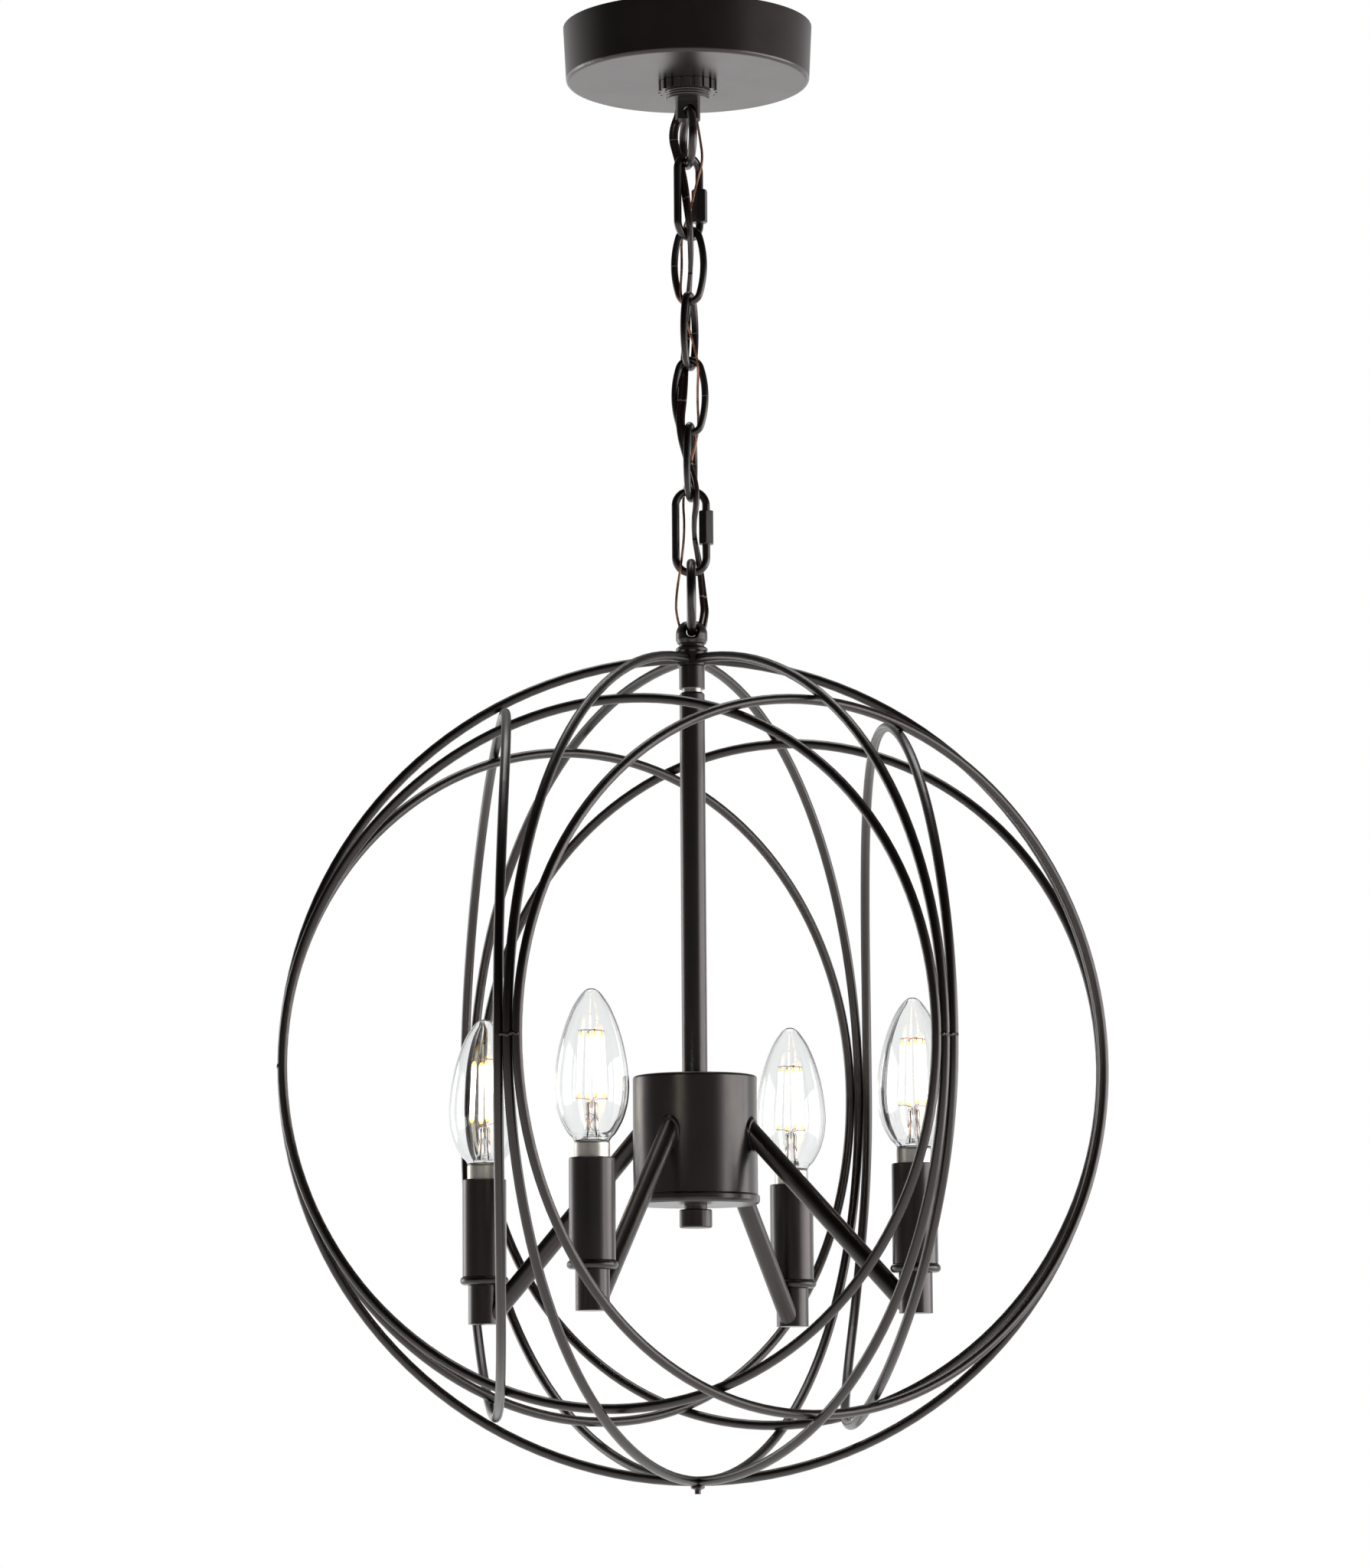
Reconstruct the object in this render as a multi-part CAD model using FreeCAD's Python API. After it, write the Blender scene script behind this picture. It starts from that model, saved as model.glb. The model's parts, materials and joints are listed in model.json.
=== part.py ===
import FreeCAD, Part
import math
import os

# Orb chandelier, in millimetres.
# The origin is the centre of the ceiling strap's top face; everything hangs towards -Z.
# +X is to the viewer's right and +Y points away from the viewer.

V = FreeCAD.Vector
UP = V(0, 0, 1)
os.makedirs("parts", exist_ok=True)

# ---------------------------------------------------------------- clearances
seat_gap = 0.1           # flat faces of two bodies that rest on each other
link_gap = 0.3           # between the round wires of two links
thread_gap = 0.05        # radial, between a thread and its hole
wire_gap = 0.15          # between cage wires that lie side by side

# ---------------------------------------------------------------- ceiling parts
strap_length = 106.0
strap_width = 16.0
strap_thickness = 1.6
strap_slot_spacing = 88.9
strap_slot_length = 12.0
strap_slot_width = 4.6
ground_screw_offset = 24.0
ground_screw_r = 2.0
ground_screw_head_r = 4.2
ground_screw_head_h = 2.6
screw_slot_w = 1.0
screw_slot_depth = 1.2

pipe_r = 5.0             # threaded pipe that hangs the canopy loop from the strap
pipe_bore_r = 3.6
strap_nut_across = 16.0
strap_nut_h = 3.5

canopy_rim_r = 65.5
canopy_face_r = 64.0
canopy_height = 29.6
canopy_wall = 1.2
canopy_edge_r = 2.0
canopy_hole_gap = 0.4    # radial, round the loop's thread

wire_nut_r = 5.2
wire_nut_tip_r = 3.6
wire_nut_h = 15.0
wire_nut_skirt_h = 3.0
canopy_wire_nut_ring_r = 27.0
canopy_wire_nut_turns = (60, 180, 300)
hub_wire_nut_ring_r = 17.0
hub_wire_nut_turns = (20, 200)
wire_nut_seat = 0.3      # over the sheet that it rests on

# ---------------------------------------------------------------- canopy loop and its nut
loop_thread_r = 12.0
loop_top = -16.0
loop_thread_end = -38.9
thread_pitch = 1.3
thread_depth = 0.5
loop_roof = 4.0
loop_floor = 4.0
loop_chamber_r = 10.3
loop_neck_width = 13.0
loop_neck_depth = 8.0
loop_neck_end = -49.7

collar_nut_r = 15.5
collar_nut_h = 5.0
collar_nut_notches = 18
collar_nut_notch_w = 2.0
collar_nut_notch_d = 1.1

# ---------------------------------------------------------------- rings and links
ring_wire_r = 2.2
ring_mean_r = 14.45
ring_axis_z = -45.0
ring_turn = 100.0        # direction of each link's plane, in degrees from +X

quick_wire_r = 2.05
quick_width = 20.0
quick_length = 47.5
quick_nut_across = 7.4
quick_nut_length = 17.6
quick_opening = 6.0
quick_travel = 7.0
quick_upper_turn = 44.0
quick_upper_nut_shift = -3.8    # nut centre from the middle of the link
quick_lower_turn = 0.0
quick_lower_nut_shift = 2.1

link_wire_r = 1.85
link_width = 19.6
link_length = 42.6
link_end_r = 5.9         # centre line, at the link's two ends
link_seam_w = 0.25
link_turns = (-16.0, 68.0, -5.0, 76.0)
link_seam_sides = (-1, 1, 1, 1)

hang_wire_r = 2.45
hang_mean_r = 18.0
hang_turn = 90.0

# ---------------------------------------------------------------- loop body and stem
body_top_r = 4.6
body_r = 8.25
body_shoulder = 7.2
body_straight = 2.2
body_taper_r = 7.4
body_height = 11.3
body_groove_r = 6.6
body_flange_r = 8.3
body_flange_h = 4.8
body_hole_cover = 5.1    # from the top of the loop body to the ring's centre line

wire_collar_r = 7.35
wire_collar_h = 6.9
coupling_r = 6.65
coupling_h = 12.0
neck_height = 2.0
socket_h = 16.1
stem_r = 6.55
stem_wall = 1.3
hub_below_middle = 5.15  # from the cage's middle down to the hub's top
inner_pipe_r = 5.2       # threaded pipes inside the stem
inner_pipe_bore_r = 4.2
inner_pipe_in_body = 1.7
inner_pipe_overlap = 5.5

# ---------------------------------------------------------------- hub
hub_r = 32.0
hub_height = 60.9
hub_wall = 1.2
hub_edge_r = 1.5
hub_nut_across = 16.0
hub_nut_h = 4.0
cover_lip = 1.0          # how far the cover stands out past the hub
cover_lip_r = hub_r + cover_lip
cover_height = 5.1
cover_spigot_h = 4.0
cover_plate = 1.6
finial_neck_r = 5.9
finial_neck_h = 2.4
finial_r = 8.4
finial_h = 9.4
finial_wall = 2.4

# ---------------------------------------------------------------- arms and lamps
lamp_count = 4
lamp_first_turn = -24.9
lamp_to_cage = 90.2      # from a lamp's axis out to the wires at the side nodes
arm_r = 5.0
arm_bore_r = 3.9
arm_drop_in_hub = 30.2   # arm centre line below the hub's top, at the hub's wall
arm_into_hub = 3.0
arm_overrun = 8.0        # past the cup's wall, before the arm is coped to it
arm_drop_in_cup = 11.8   # arm centre line below the cup's top, at the cup's wall
arm_ring_r = 5.9
arm_ring_h = 1.4
arm_ring_reach = 8.0     # along the arm, before it is cut to the hub
cup_r = 8.5
cup_height = 20.2
cup_wall = 1.5
cup_top_from_hub_top = 104.0
pan_r = 12.75
pan_h = 4.3
pan_gap = 0.2
sleeve_r = 11.5
sleeve_wall = 1.1
sleeve_h = 50.5
sleeve_edge = 0.4
holder_r = 9.3
holder_h = 47.0
holder_floor = 6.0
holder_bore_depth = 28.0
lamp_pipe_r = 5.0
lamp_pipe_bore_r = 3.4
lamp_pipe_in_cup = 6.0

bulb_screw_r = 6.0
bulb_screw_h = 25.5
bulb_tip_r = 3.0
bulb_tip_h = 1.8
bulb_collar_r = 8.9
bulb_collar_h = 9.4
bulb_collar_above_sleeve = 8.0
bulb_fit = 0.08
glass_neck_r = 8.5
glass_max_r = 17.5
glass_height = 76.0
glass_wall = 0.8
glass_tip_r = 1.6
filament_r = 0.8
filament_length = 32.0
filament_spread = 5.2
mount_foot_r = 5.0
mount_top_r = 2.4
mount_height = 19.0
support_wire_r = 0.35

lead_r = 1.3             # pair of lamp leads in each arm
lead_in_hub = 14.0
lead_bend_side = 4.6     # the lead's corner in the cup, in from the lamp's axis
lead_bend_drop = 2.5     # and below the arm's end
lead_rise_drop = 4.5     # where it turns straight up, below the cup's top
lead_end_drop = 1.0      # its end, below the top of the holder's floor

# ---------------------------------------------------------------- cage
cage_r = 211.7           # wire centre line, at the six side nodes and at both poles
cage_wire_r = 2.5
cage_first_node = 4.8    # direction of the first side node, in degrees from +X
side_ring_steps = 8      # arcs are fitted over this many equal steps
# Height of each side ring over and under the middle, and how far it leans in there, as shares of cage_r.
side_ring_up = (0.8262, 0.8503, 0.8233, 0.8559, 0.8465, 0.8351)
side_ring_down = (0.8673, 0.8588, 0.8493, 0.8455, 0.8356, 0.8521)
side_lean_up = (0.0557, 0.0439, 0.0501, 0.0567, 0.1001, 0.0175)
side_lean_down = (0.1474, 0.0595, 0.1034, 0.0354, 0.0727, 0.0472)
bead_r = 1.2
bead_proud = 1.7         # bead centres, outside the wires' centre lines
knot_r = 3.6             # small knot under the wires' crossing
knot_h = 2.0
knot_nub_r = 1.6
knot_nub_h = 2.0

# ---------------------------------------------------------------- cord
cord_r = 2.0
cord_hole_r = 2.4
cord_hole_side = 6.75   # the slanted hole through the loop body, at its top and at its bottom
cord_hole_low_side = 1.5
cord_exit = V(-3.0, 7.6, 0)
ground_r = 0.7
ground_hole_r = 1.1
ground_exit = V(3.4, 7.2, 0)

# ---------------------------------------------------------------- heights that follow
chamber_top = loop_top - loop_roof
below_loop = loop_thread_end - 2.1
canopy_face = -canopy_height
collar_nut_top = canopy_face - seat_gap
collar_nut_bottom = collar_nut_top - collar_nut_h

ring_bottom_axis = ring_axis_z - 2 * ring_mean_r


def next_top(bottom_axis, upper_r, lower_r):
    """Centre line of the next link's top wire, hooked over the wire above it."""
    return bottom_axis + upper_r + lower_r + link_gap


quick_upper_top = next_top(ring_bottom_axis, ring_wire_r, quick_wire_r)
quick_span = quick_length - 2 * quick_wire_r
quick_upper_bottom = quick_upper_top - quick_span
link_span = link_length - 2 * link_wire_r
link_tops = []
bottom_axis = quick_upper_bottom
upper_r = quick_wire_r
for turn in link_turns:
    top_axis = next_top(bottom_axis, upper_r, link_wire_r)
    link_tops.append(top_axis)
    bottom_axis = top_axis - link_span
    upper_r = link_wire_r
quick_lower_top = next_top(bottom_axis, link_wire_r, quick_wire_r)
quick_lower_bottom = quick_lower_top - quick_span
hang_top_axis = next_top(quick_lower_bottom, quick_wire_r, hang_wire_r)
hang_bottom_axis = hang_top_axis - 2 * hang_mean_r

body_top = hang_bottom_axis + body_hole_cover
body_bottom = body_top - body_height
flange_bottom = body_bottom - body_flange_h
collar_bottom = flange_bottom - wire_collar_h
coupling_bottom = collar_bottom - coupling_h
socket_top = coupling_bottom - neck_height
stem_top = socket_top - socket_h
pole_z = (flange_bottom + collar_bottom) / 2
cage_z = pole_z - cage_r
hub_top = cage_z - hub_below_middle
hub_bottom = hub_top - hub_height
cover_bottom = hub_bottom - cover_height
finial_knob_top = cover_bottom - finial_neck_h
finial_bottom = finial_knob_top - finial_h
lamp_circle_r = cage_r - lamp_to_cage
cup_top = hub_top - cup_top_from_hub_top
cup_bottom = cup_top - cup_height
pan_bottom = cup_top + pan_gap
pan_top = pan_bottom + pan_h
sleeve_top = pan_top + sleeve_h
holder_top = pan_top + holder_h
glass_bottom = sleeve_top + bulb_collar_above_sleeve
collar_low = glass_bottom - bulb_collar_h
screw_low = collar_low - bulb_screw_h
arm_hub_z = hub_top - arm_drop_in_hub
arm_cup_z = cup_top - arm_drop_in_cup


# ---------------------------------------------------------------- helpers
def save(name, shapes):
    """Write one node: a single solid or a group of separate solids."""
    if not isinstance(shapes, list):
        shapes = [shapes]
    solids = []
    for shape in shapes:
        solids.extend(shape.Solids)
    whole = solids[0] if len(solids) == 1 else Part.makeCompound(solids)
    whole.exportStep("parts/" + name + ".step")


def level(z):
    return V(0, 0, z)


def flat_direction(degrees):
    angle = math.radians(degrees)
    return V(math.cos(angle), math.sin(angle), 0)


def disc(radius, low, high, centre=V(0, 0, 0)):
    return Part.makeCylinder(radius, high - low, V(centre.x, centre.y, low))


def turned(profile, centre=V(0, 0, 0)):
    """Solid of revolution about a vertical axis; profile holds (radius, z) points."""
    points = [V(r, 0, z) for r, z in profile]
    points.append(points[0])
    face = Part.Face(Part.makePolygon(points))
    solid = face.revolve(V(0, 0, 0), UP, 360)
    solid.translate(centre)
    return solid


def hexagon(across, low, high, centre, turn=0.0):
    corner = across / math.sqrt(3)
    points = [centre + flat_direction(turn + 60 * i) * corner for i in range(7)]
    base = Part.Face(Part.makePolygon([V(p.x, p.y, low) for p in points]))
    return base.extrude(V(0, 0, high - low))


def bar(start, end, radius):
    return Part.makeCylinder(radius, (end - start).Length, start, end - start)


def swept(edges, radius, start, tangent):
    """Round wire along tangent edges."""
    section = Part.Wire([Part.makeCircle(radius, start, tangent)])
    return Part.Wire(edges).makePipeShell([section], True, False)


def biarc(start, start_tangent, end, end_tangent):
    """Two arcs that join two points and keep both tangents."""
    chord = end - start
    both = start_tangent + end_tangent
    a = 2 * (1 - start_tangent.dot(end_tangent))
    b = 2 * chord.dot(both)
    c = -chord.dot(chord)
    reach = -c / b
    if a > 1e-9:
        reach = (-b + math.sqrt(b * b - 4 * a * c)) / (2 * a)
    near = start + start_tangent * reach
    far = end - end_tangent * reach
    middle = (near + far) * 0.5
    middle_tangent = (far - near).normalize()
    return [arc_from(start, start_tangent, middle), arc_from(middle, middle_tangent, end)]


def arc_from(start, tangent, end):
    chord = end - start
    side = chord.cross(tangent).cross(chord).normalize()
    half_turn = math.acos(max(-1.0, min(1.0, chord.dot(tangent) / chord.Length)))
    rise = chord.Length / 2 * math.tan(half_turn / 2)
    return Part.Arc(start, (start + end) * 0.5 + side * rise, end).toShape()


def round_hole(wire_r, mean_r, reach, z, turn):
    """Flared hole that a round ring passes through and swings in."""
    bore = wire_r + link_gap
    rise = mean_r - math.sqrt(mean_r ** 2 - reach ** 2)
    low = V(0, 0, -reach)
    high = V(0, 0, reach)
    flare = bore + rise
    curve = Part.Arc(V(flare, 0, -reach), V(bore, 0, 0), V(flare, 0, reach)).toShape()
    edges = [curve]
    edges.append(Part.makeLine(V(flare, 0, reach), high))
    edges.append(Part.makeLine(high, low))
    edges.append(Part.makeLine(low, V(flare, 0, -reach)))
    solid = Part.Face(Part.Wire(edges)).revolve(V(0, 0, 0), UP, 360)
    solid.rotate(V(0, 0, 0), V(0, 1, 0), 90)
    solid.rotate(V(0, 0, 0), UP, turn)
    solid.translate(level(z))
    return solid


# ---------------------------------------------------------------- ceiling parts
def make_strap():
    low = -strap_thickness
    corner = V(-strap_length / 2, -strap_width / 2, low)
    strap = Part.makeBox(strap_length, strap_width, strap_thickness, corner)
    strap = strap.cut(disc(pipe_r + thread_gap, low, 0))
    for side in (-1, 1):
        centre = V(side * strap_slot_spacing / 2, 0, 0)
        half = (strap_slot_length - strap_slot_width) / 2
        slot = Part.makeBox(2 * half, strap_slot_width, strap_thickness,
                            centre + V(-half, -strap_slot_width / 2, low))
        for end in (-half, half):
            slot = slot.fuse(disc(strap_slot_width / 2, low, 0, centre + V(end, 0, 0)))
        strap = strap.cut(slot)
    strap = strap.cut(disc(ground_screw_r + thread_gap, low, 0, V(ground_screw_offset, 0, 0)))
    return strap


def make_ground_screw():
    centre = V(ground_screw_offset, 0, 0)
    head_top = -strap_thickness
    head_bottom = head_top - ground_screw_head_h
    shank = disc(ground_screw_r, head_bottom, -seat_gap, centre)
    head = disc(ground_screw_head_r, head_bottom, head_top, centre)
    slot_corner = centre + V(-ground_screw_head_r, -screw_slot_w / 2, head_bottom)
    slot = Part.makeBox(2 * ground_screw_head_r, screw_slot_w, screw_slot_depth, slot_corner)
    return shank.fuse(head).cut(slot).removeSplitter()


def make_strap_nut():
    high = -strap_thickness
    low = high - strap_nut_h
    return hexagon(strap_nut_across, low, high, V(0, 0, 0)).cut(disc(pipe_r + thread_gap, low, high))


def make_ceiling_pipe():
    low = loop_top - loop_roof
    return disc(pipe_r, low, -seat_gap).cut(disc(pipe_bore_r, low, 0))


def make_canopy():
    shell = Part.makeCone(canopy_face_r, canopy_rim_r, canopy_height, level(canopy_face))
    edge = [e for e in shell.Edges if abs(e.BoundBox.ZMax - canopy_face) < 1e-6 and e.BoundBox.XLength > 1]
    shell = shell.makeFillet(canopy_edge_r, edge)
    inner_low = canopy_face + canopy_wall
    hollow = Part.makeCone(canopy_face_r - canopy_wall, canopy_rim_r - canopy_wall,
                           canopy_height - canopy_wall, level(inner_low))
    hole = disc(loop_thread_r + canopy_hole_gap, canopy_face, inner_low)
    return shell.cut(hollow).cut(hole)


def make_wire_nuts(ring_r, base_z, directions):
    nuts = []
    for direction in directions:
        centre = flat_direction(direction) * ring_r
        nuts.append(turned([(0, base_z), (wire_nut_r, base_z), (wire_nut_r, base_z + wire_nut_skirt_h),
                            (wire_nut_tip_r, base_z + wire_nut_h), (0, base_z + wire_nut_h)], centre))
    return nuts


# ---------------------------------------------------------------- canopy loop
def make_canopy_loop():
    crest = loop_thread_r
    root = loop_thread_r - thread_depth
    profile = [(0, loop_top), (root, loop_top)]
    z = loop_top - thread_pitch / 2
    while z > loop_thread_end + thread_pitch:
        profile.append((crest, z))
        profile.append((root, z - thread_pitch / 2))
        z -= thread_pitch
    profile.append((root, loop_thread_end))
    profile.append((0, loop_thread_end))
    body = turned(profile)
    neck = Part.makeBox(loop_neck_width, loop_neck_depth, loop_thread_end - loop_neck_end,
                        V(-loop_neck_width / 2, -loop_neck_depth / 2, loop_neck_end))
    neck = neck.common(disc(loop_neck_width / 2, loop_neck_end, loop_thread_end))
    body = body.fuse(neck).removeSplitter()
    roof = loop_top - loop_roof
    floor = loop_thread_end + loop_floor
    body = body.cut(disc(pipe_r + thread_gap, roof, loop_top))
    body = body.cut(disc(loop_chamber_r, floor, roof))
    body = body.cut(disc(cord_hole_r, loop_thread_end, floor, cord_exit))
    body = body.cut(disc(ground_hole_r, loop_thread_end, floor, ground_exit))
    hole = round_hole(ring_wire_r, ring_mean_r, loop_neck_width / 2, ring_axis_z, ring_turn)
    return body.cut(hole)


def make_collar_nut():
    nut = disc(collar_nut_r, collar_nut_bottom, collar_nut_top)
    nut = nut.cut(disc(loop_thread_r + thread_gap, collar_nut_bottom, collar_nut_top))
    notch_low = V(collar_nut_r - collar_nut_notch_d, -collar_nut_notch_w / 2, collar_nut_bottom)
    for i in range(collar_nut_notches):
        notch = Part.makeBox(2 * collar_nut_notch_d, collar_nut_notch_w, collar_nut_h, notch_low)
        notch.rotate(V(0, 0, 0), UP, 360.0 * i / collar_nut_notches)
        nut = nut.cut(notch)
    return nut


# ---------------------------------------------------------------- rings and links
def make_ring(top_axis, mean_r, wire_r, turn):
    along = flat_direction(turn)
    return Part.makeTorus(mean_r, wire_r, level(top_axis - mean_r), along.cross(UP))


def link_plane(turn, top_axis, span):
    """Returns a function that places (sideways, height) points of a link's centre line."""
    along = flat_direction(turn)
    middle = level(top_axis - span / 2)
    return lambda side, height: middle + along * side + UP * height


def make_oval_link(top_axis, turn, seam_side):
    """Oval link: two tight end arcs, two long side arcs and a butt seam in one side."""
    half_width = link_width / 2 - link_wire_r
    half_span = link_span / 2
    end_centre = half_span - link_end_r
    side_r = (half_width ** 2 + end_centre ** 2 - link_end_r ** 2) / (2 * (half_width - link_end_r))
    lean = math.asin(end_centre / (side_r - link_end_r))
    place = link_plane(turn, top_axis, link_span)
    join_side = side_r * math.cos(lean) - (side_r - half_width)
    join_height = side_r * math.sin(lean)
    start = place(half_width, 0)
    corners = [place(x * join_side, z * join_height) for x, z in ((1, 1), (-1, 1), (-1, -1), (1, -1))]
    between_side = side_r * math.cos(lean / 2) - side_r + half_width
    between_height = side_r * math.sin(lean / 2)
    edges = [
        Part.Arc(start, place(between_side, between_height), corners[0]).toShape(),
        Part.Arc(corners[0], place(0, half_span), corners[1]).toShape(),
        Part.Arc(corners[1], place(-half_width, 0), corners[2]).toShape(),
        Part.Arc(corners[2], place(0, -half_span), corners[3]).toShape(),
        Part.Arc(corners[3], place(between_side, -between_height), start).toShape(),
    ]
    ring = swept(edges, link_wire_r, start, UP)
    box_size = 3 * link_wire_r
    seam = Part.makeBox(box_size, box_size, link_seam_w, V(-box_size / 2, -box_size / 2, -link_seam_w / 2))
    seam.rotate(V(0, 0, 0), UP, turn)
    seam.translate(place(seam_side * half_width, 0))
    return ring.cut(seam)


def make_quick_link(top_axis, turn, nut_shift, opens):
    """Racetrack link with a gap in its right-hand side, and the hexagonal nut that closes it."""
    side = quick_width / 2 - quick_wire_r
    straight = quick_span / 2 - side
    place = link_plane(turn, top_axis, quick_span)
    nut_middle = nut_shift
    nut_low = nut_middle - quick_nut_length / 2
    nut_high = nut_middle + quick_nut_length / 2
    hidden = (quick_travel - quick_opening) / 2
    gap_low = nut_low + hidden if opens > 0 else nut_high - hidden - quick_opening
    gap_high = gap_low + quick_opening
    edges = [
        Part.makeLine(place(side, gap_high), place(side, straight)),
        Part.Arc(place(side, straight), place(0, straight + side), place(-side, straight)).toShape(),
        Part.makeLine(place(-side, straight), place(-side, -straight)),
        Part.Arc(place(-side, -straight), place(0, -straight - side), place(side, -straight)).toShape(),
        Part.makeLine(place(side, -straight), place(side, gap_low)),
    ]
    link = swept(edges, quick_wire_r, place(side, gap_high), UP)
    centre = place(side, 0)
    low = centre.z + nut_low
    high = centre.z + nut_high
    nut = hexagon(quick_nut_across, low, high, centre, turn + 30)
    rounding = turned([(0, low), (quick_nut_across / 2, low), (quick_nut_across * 0.6, low + 1.0),
                       (quick_nut_across * 0.6, high - 1.0), (quick_nut_across / 2, high), (0, high)],
                      V(centre.x, centre.y, 0))
    nut = nut.common(rounding).cut(disc(quick_wire_r + thread_gap, low, high, centre))
    return link, nut


# ---------------------------------------------------------------- loop body and stem
def cord_slope_point(z):
    """Centre of the cord's slanted way through the loop body."""
    slope = (cord_hole_side - cord_hole_low_side) / (body_top - flange_bottom)
    return V(cord_hole_side - slope * (body_top - z), 0, z)


def ground_slope_point(z):
    """Centre of the ground wire's way through the loop body, opposite the cord's."""
    return V(-cord_slope_point(z).x - ground_r, 0, z)


def make_loop_body():
    taper_top = body_top - body_shoulder - body_straight
    shoulder = Part.Arc(V(body_top_r, 0, body_top), V(body_r - 0.9, 0, body_top - body_shoulder * 0.42),
                        V(body_r, 0, body_top - body_shoulder)).toShape()
    groove_low = body_bottom - 1.6
    outline = [V(body_r, 0, body_top - body_shoulder), V(body_r, 0, taper_top),
               V(body_taper_r, 0, body_bottom),
               V(body_groove_r, 0, body_bottom - 0.5), V(body_groove_r, 0, groove_low),
               V(body_flange_r - 0.8, 0, groove_low - 0.4), V(body_flange_r, 0, groove_low - 1.2),
               V(body_flange_r, 0, flange_bottom + 0.8), V(body_flange_r - 0.8, 0, flange_bottom),
               V(0, 0, flange_bottom), V(0, 0, body_top), V(body_top_r, 0, body_top)]
    edges = [shoulder] + [Part.makeLine(a, b) for a, b in zip(outline, outline[1:])]
    body = Part.Face(Part.Wire(edges)).revolve(V(0, 0, 0), UP, 360)
    body = body.cut(round_hole(hang_wire_r, hang_mean_r, body_r + 0.5, hang_bottom_axis, hang_turn))
    body = body.cut(bar(cord_slope_point(body_top + 3), cord_slope_point(flange_bottom - 3), cord_hole_r))
    ground_hole = bar(ground_slope_point(body_top + 3), ground_slope_point(flange_bottom - 3), ground_hole_r)
    body = body.cut(ground_hole)
    pipe_end = flange_bottom + inner_pipe_in_body
    return body.cut(disc(inner_pipe_r + thread_gap, flange_bottom, pipe_end + thread_gap))


def make_stem_pipe():
    low = stem_top - inner_pipe_overlap
    high = flange_bottom + inner_pipe_in_body
    return disc(inner_pipe_r, low, high).cut(disc(inner_pipe_bore_r, low, high))


def make_threaded_collar(radius, low, high, edge=0.0):
    profile = [(inner_pipe_r + thread_gap, low), (radius, low), (radius, high - edge),
               (radius - edge, high), (inner_pipe_r + thread_gap, high)]
    if edge == 0.0:
        profile.pop(3)
        profile[2] = (radius, high)
    return turned(profile)


def make_stem_tube():
    return disc(stem_r, hub_top, stem_top).cut(disc(stem_r - stem_wall, hub_top, stem_top))


# ---------------------------------------------------------------- hub
def lamp_centre(index):
    return flat_direction(lamp_first_turn + 360.0 / lamp_count * index) * lamp_circle_r


def arm_ends(index):
    outward = flat_direction(lamp_first_turn + 360.0 / lamp_count * index)
    start = outward * hub_r + level(arm_hub_z)
    end = outward * (lamp_circle_r - cup_r) + level(arm_cup_z)
    return start, end


def make_hub_cup():
    cup = disc(hub_r, hub_bottom, hub_top)
    edge = [e for e in cup.Edges if abs(e.BoundBox.ZMin - hub_top) < 1e-6]
    cup = cup.makeFillet(hub_edge_r, edge)
    cup = cup.cut(disc(hub_r - hub_wall, hub_bottom, hub_top - hub_wall))
    cup = cup.cut(disc(inner_pipe_r + thread_gap, hub_top - hub_wall, hub_top))
    for i in range(lamp_count):
        start, end = arm_ends(i)
        direction = (end - start).normalize()
        cup = cup.cut(bar(start - direction * 12, start + direction * 12, arm_r + thread_gap))
    return cup


def make_hub_cover():
    lip = turned([(0, cover_bottom), (cover_lip_r - 1.6, cover_bottom),
                  (cover_lip_r - 0.4, cover_bottom + 0.8),
                  (cover_lip_r, cover_bottom + 2.0), (cover_lip_r, hub_bottom - 1.0),
                  (cover_lip_r - 0.6, hub_bottom - 0.3), (cover_lip_r - 1.2, hub_bottom), (0, hub_bottom)])
    spigot_r = hub_r - hub_wall - seat_gap
    cover = lip.fuse(disc(spigot_r, hub_bottom, hub_bottom + cover_spigot_h)).removeSplitter()
    cover = cover.cut(disc(spigot_r - 1.2, cover_bottom + cover_plate, hub_bottom + cover_spigot_h))
    return cover.cut(disc(inner_pipe_r + thread_gap, cover_bottom, cover_bottom + cover_plate))


def make_hub_nut():
    high = hub_top - hub_wall
    low = high - hub_nut_h
    nut = hexagon(hub_nut_across, low, high, V(0, 0, 0))
    return nut.cut(disc(inner_pipe_r + thread_gap, low, high))


def make_hub_pipe():
    low = finial_bottom + finial_wall + 0.5
    high = hub_top + 3 * inner_pipe_overlap
    return disc(inner_pipe_r, low, high).cut(disc(inner_pipe_bore_r, low, high))


def make_finial():
    knob = turned([(0, finial_bottom), (finial_r - 0.6, finial_bottom), (finial_r, finial_bottom + 0.6),
                   (finial_r, finial_knob_top - 0.5), (finial_r - 0.5, finial_knob_top),
                   (finial_neck_r, finial_knob_top), (finial_neck_r, cover_bottom - seat_gap),
                   (0, cover_bottom - seat_gap)])
    return knob.cut(disc(inner_pipe_r + thread_gap, finial_bottom + finial_wall, cover_bottom))


# ---------------------------------------------------------------- arms and lamps
def make_arm(index):
    start, end = arm_ends(index)
    direction = (end - start).normalize()
    inner = start - direction * arm_into_hub
    beyond = end + direction * arm_overrun
    tube = bar(inner, beyond, arm_r).cut(bar(inner - direction, beyond + direction, arm_bore_r))
    centre = lamp_centre(index)
    return tube.cut(disc(cup_r, cup_bottom - 5, cup_top + 5, centre))


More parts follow.
